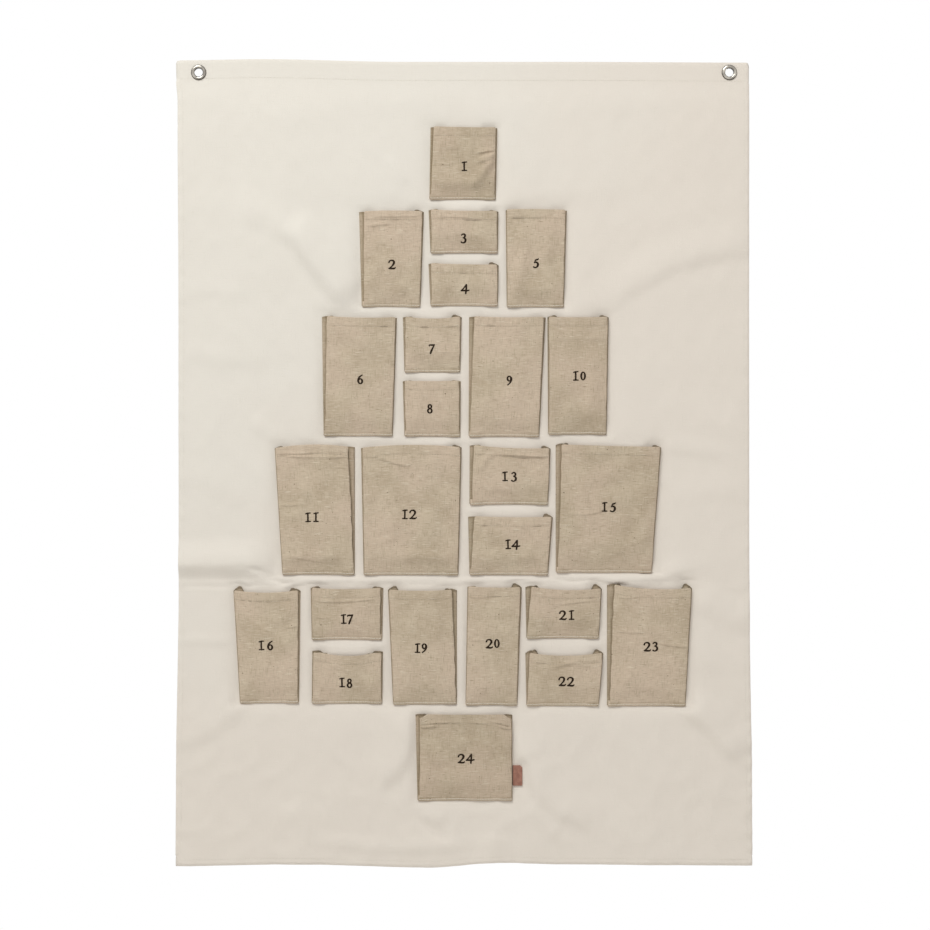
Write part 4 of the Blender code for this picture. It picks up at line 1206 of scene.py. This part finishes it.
def cut_holes(banner):
    """Cuts the eyelets' holes."""
    cutters = []
    radius = 5.0 * MM
    for side in SIDES:
        bm = bmesh.new()
        size = {"radius1": radius, "radius2": radius, "depth": 20 * MM}
        bmesh.ops.create_cone(bm, cap_ends=True, segments=48, **size)
        cutter = add_object("hole", mesh_from("hole", bm))
        cutter.location = (side * EYELET_X, 0, 0)
        cutter.rotation_euler = (math.pi / 2, 0, 0)
        cut = banner.modifiers.new("hole", "BOOLEAN")
        cut.operation = "DIFFERENCE"
        cut.object = cutter
        cutters.append(cutter)
    settle(banner)
    for cutter in cutters:
        bpy.data.objects.remove(cutter)


def build_banner(pockets):
    edge = CANVAS / 2
    half = BANNER_WIDTH / 2
    fold = (place(0, 592)[1], place(0, 560)[1])
    rim = (BOTTOM_EDGE, BOTTOM_EDGE + 3.4 * MM)
    xs = banner_lines(-half + edge, half - edge, 4.0 * MM, ((half - 6 * MM, half),))
    zs = banner_lines(BOTTOM_EDGE + edge, TOP_EDGE - edge, 3.6 * MM, (rim, fold))
    side, top, bottom = (hem_turn(hem) for hem in (SIDE_HEM, TOP_HEM, BOTTOM_HEM))
    full_x = np.concatenate([-half + edge - side[::-1, 0], xs, half - edge + side[:, 0]])
    back_x = np.concatenate([side[::-1, 1], np.zeros(len(xs)), side[:, 1]])
    full_z = np.concatenate([BOTTOM_EDGE + edge - bottom[::-1, 0], zs, TOP_EDGE - edge + top[:, 0]])
    back_z = np.concatenate([bottom[::-1, 1], np.zeros(len(zs)), top[:, 1]])
    x, z = np.meshgrid(full_x, full_z)
    low, high = BOTTOM_EDGE + BOTTOM_HEM + 0.5 * MM, TOP_EDGE - TOP_HEM - 0.5 * MM
    in_hems = (full_z > high) | (full_z < low)
    x[in_hems, len(side)] -= 0.35 * MM
    x[in_hems, -1 - len(side)] += 0.35 * MM
    relief = banner_relief(np.clip(x, -half, half), np.clip(z, BOTTOM_EDGE, TOP_EDGE), pockets)
    points = banner_place(x, z, FACE_DEPTH - edge - back_x - back_z[:, None] + relief)
    valid = np.zeros((len(full_z) - 1, len(full_x) - 1), bool)
    valid[:, len(side) : -len(side)] = True
    inner = (full_z > low) & (full_z < high) & (back_z == 0)
    valid[inner[:-1] & inner[1:]] = True
    lengths = [
        running(np.hypot(np.diff(values), np.diff(backs)))
        for values, backs in ((full_x, back_x), (full_z, back_z))
    ]
    uv = np.stack(np.meshgrid(*lengths), axis=-1)
    banner = patch("banner_cloth", points, uv, valid, CANVAS_CLOTH, CANVAS)
    settle(banner)
    cut_holes(banner)
    fasten(banner, "canvas", "backing_panel")


def sew_banner(pockets):
    """The banner's hem stitches, front and back, and the pockets' seams on its back."""
    side = BANNER_WIDTH / 2 - SIDE_HEM + 1.5 * MM
    end = BANNER_WIDTH / 2 - 4 * MM
    top, low = TOP_EDGE - TOP_HEM + 2.0 * MM, BOTTOM_EDGE + BOTTOM_HEM - 1.6 * MM
    dice = random.Random(5)

    def sew(name, lines, depth, facing, radius_mm, material):
        """Lines of stitches on the banner's face (facing 1) or back (facing -1)."""
        rows = []
        for first, last in lines:
            first, last = np.array(first), np.array(last)
            length = np.linalg.norm(last - first)

            def at(distance):
                x, z = first[:, None] + (last - first)[:, None] * distance / length
                return banner_place(x, z, depth + banner_relief(x, z, pockets))

            rows.append(stitch_row(at, length, 3.2 * MM, dice))
        starts, ends, normals = (np.concatenate(parts) for parts in zip(*rows))
        thread = stitch_mesh(name, starts, ends, normals * facing, radius_mm * MM, material)
        fasten(thread, "canvas")

    hems = [((-end, level), (end, level)) for level in (top, low)]
    hems += [((x, low + 6 * MM), (x, top - 4 * MM)) for x in (-side, side)]
    sew("banner_hem_thread_front", hems, FACE_DEPTH + 0.05 * MM, 1, 0.13, CREAM_THREAD)
    sew("banner_hem_thread_back", hems, -0.05 * MM, -1, 0.20, CREAM_THREAD)
    seams = []
    for pocket in pockets.values():
        left, right = pocket.foot[-1] + 1.4 * MM, pocket.foot[1] - 1.4 * MM
        foot, mouth = pocket.low + 2 * MM, pocket.high - 1 * MM
        corners = (left, mouth), (left, foot), (right, foot), (right, mouth)
        seams += zip(corners, corners[1:])
    depth = FACE_DEPTH - CANVAS - 0.05 * MM
    sew("pocket_seam_thread_back", seams, depth, -1, 0.20, LIGHT_THREAD)


# ---------------------------------------------------------------- eyelets
def turned(name, profile, x, material, steps=80):
    """A closed outline of (radius, depth) in millimetres, turned about an eyelet's centre line."""
    bm = bmesh.new()
    verts = [bm.verts.new((radius * MM, -depth * MM, 0)) for radius, depth in profile]
    edges = [bm.edges.new(pair) for pair in zip(verts, verts[1:] + verts[:1])]
    about = {"cent": (0, 0, 0), "axis": (0, 1, 0), "angle": math.tau}
    bmesh.ops.spin(bm, geom=verts + edges, steps=steps, use_merge=True, **about)
    bmesh.ops.translate(bm, verts=bm.verts, vec=(x, 0, 0))
    bmesh.ops.recalc_face_normals(bm, faces=bm.faces)
    return link(name, mesh_from(name, bm), material)


def eyelet_profile():
    """The pressed sheet of an eyelet: its domed flange, its barrel, and the curl behind the cloth."""
    face = FACE_DEPTH / MM + 0.15
    flange, bore, curl, half = 7.75, 4.5, 0.75, 0.22
    centre = []
    for step in range(15):
        angle = math.pi * step / 14
        bulge = 1.35 * math.sin(angle) ** 0.8 if 0 < step < 14 else 0
        centre.append(((flange + bore) / 2 + (flange - bore) / 2 * math.cos(angle), face + bulge))
    centre += [(4.47, 1.2), (4.46, 0.2), (4.50, -0.5)]
    for turn in map(math.radians, (20, 45, 70, 90)):
        centre.append((bore + curl * (1 - math.cos(turn)), -curl - curl * math.sin(turn)))
    centre += [(5.8, -1.46), (6.3, -1.34)]
    points = [Vector(point) for point in centre]
    front, back = [], []
    for before, point, after in zip(points[:1] + points, points, points[1:] + points[-1:]):
        run = (after - before).normalized()
        across = Vector((run.y, -run.x)) * half
        front.append(tuple(point + across))
        back.append(tuple(point - across))
    return front + back[::-1]


def build_eyelets():
    hole = 5.05
    washer = [(hole, -0.25), (6.9, -0.25), (7.25, -0.35), (7.4, -0.55), (7.3, -0.78)]
    washer += [(6.8, -0.88), (hole, -0.88)]
    for side, word in zip(SIDES, ("left", "right")):
        ring = turned(f"{word}_eyelet_ring", eyelet_profile(), side * EYELET_X, NICKEL)
        fasten(ring, "nickel", f"{word}_eyelet")
        plate = turned(f"{word}_eyelet_back", washer, side * EYELET_X, NICKEL)
        fasten(plate, "nickel", f"{word}_eyelet_washer")


# -------------------------------------------------------------------- tag
def build_tag():
    low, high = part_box("leather_tag")
    chamfer = 2.2 * MM
    outline = [(low.x, low.z), (high.x, low.z), (high.x, high.z - chamfer)]
    outline += [(high.x - chamfer, high.z), (low.x, high.z)]
    bm = bmesh.new()
    face = bm.faces.new([bm.verts.new((x, low.y, z)) for x, z in outline])
    moved = bmesh.ops.extrude_face_region(bm, geom=[face])["geom"]
    moved = [item for item in moved if isinstance(item, bmesh.types.BMVert)]
    bmesh.ops.translate(bm, verts=moved, vec=(0, high.y - low.y, 0))
    bmesh.ops.recalc_face_normals(bm, faces=bm.faces)

    def bevel(edges, offset, profile):
        bmesh.ops.bevel(bm, geom=edges, offset=offset, segments=3, profile=profile, affect="EDGES")

    corners = [e for e in bm.edges if abs(e.verts[0].co.y - e.verts[1].co.y) > 1e-5]
    bevel(corners, 0.5 * MM, 0.5)
    bevel([edge for edge in bm.edges if edge.calc_face_angle(0) > 1.0], 0.35 * MM, 0.6)
    tag = link("leather_label", mesh_from("leather_label", bm), LEATHER)
    fasten(tag, "leather", "leather_tag", body="tag")


# ------------------------------------------------------- camera and stage
def set_camera():
    x, z = place(465, 465)
    camera = bpy.data.cameras.new("camera")
    camera.sensor_width = 36
    camera.lens = 36 * CAMERA_DISTANCE / FRAME_WIDTH
    camera.clip_start = 0.05
    obj = add_object("camera", camera)
    obj.location = (x, -FACE_DEPTH - CAMERA_DISTANCE, z)
    obj.rotation_euler = (math.pi / 2, 0, 0)
    bpy.context.scene.camera = obj


def set_world():
    """A world that is white to the camera and in reflections, and lights the object less."""
    world = bpy.data.worlds.new("studio")
    bpy.context.scene.world = world
    world.use_nodes = True
    tree = world.node_tree
    background = tree.nodes["Background"]
    path = tree.nodes.new("ShaderNodeLightPath")
    seen = path.outputs["Is Camera Ray"]
    for other in ("Is Glossy Ray", "Is Transmission Ray"):
        either = tree.nodes.new("ShaderNodeMath")
        either.operation = "MAXIMUM"
        tree.links.new(seen, either.inputs[0])
        tree.links.new(path.outputs[other], either.inputs[1])
        seen = either.outputs[0]
    strength = tree.nodes.new("ShaderNodeMapRange")
    tree.links.new(seen, strength.inputs["Value"])
    strength.inputs["To Min"].default_value = 0.42
    strength.inputs["To Max"].default_value = 1.0
    tree.links.new(strength.outputs[0], background.inputs["Strength"])
    background.inputs["Color"].default_value = (1.0, 1.0, 1.0, 1.0)


def set_lights():
    target = Vector((0.0, 0.0, -0.40))
    cool, warm = (0.975, 1.0, 0.985), (1.0, 0.985, 0.965)
    for name, towards, distance, size, power, colour in (
        ("key", (-0.30, -0.64, 0.70), 3.1, 1.5, 63.0, cool),
        ("fill", (0.75, -0.62, -0.05), 3.0, 1.4, 5.0, warm),
        ("back", (0.35, 0.85, 0.35), 3.4, 1.8, 44.0, warm),
    ):
        light = bpy.data.lights.new(name, "AREA")
        light.shape = "SQUARE"
        light.size = size
        light.energy = power
        light.color = colour
        obj = add_object(name, light)
        obj.location = target + Vector(towards).normalized() * distance
        obj.rotation_euler = (target - obj.location).to_track_quat("-Z", "Y").to_euler()


def lay_floor():
    shade = Shade("floor", 0.9)
    tone = shade.noise(shade.object_place(), 6, detail=2.0)
    shade.finish(shade.layers((236, 235, 232), (tone, 0.3, 0.7, 1.0, (240, 239, 236))))
    turns = np.arange(96) * math.tau / 96
    rim = np.stack([2.7 * np.cos(turns), 2.7 * np.sin(turns) - 0.6, 0 * turns - 1.35], axis=1)
    link("floor", mesh_of("floor", rim, [tuple(range(96))]), shade.material, smooth=False)


set_camera()
pockets = {number: Pocket(number) for number in range(1, 25)}
build_banner(pockets)
for pocket in pockets.values():
    pocket.build()
    sew_pocket(pocket)
    stamp_number(pocket)
sew_banner(pockets)
build_eyelets()
build_tag()
bpy.context.scene.view_settings.view_transform = "Standard"
set_world()
set_lights()
lay_floor()
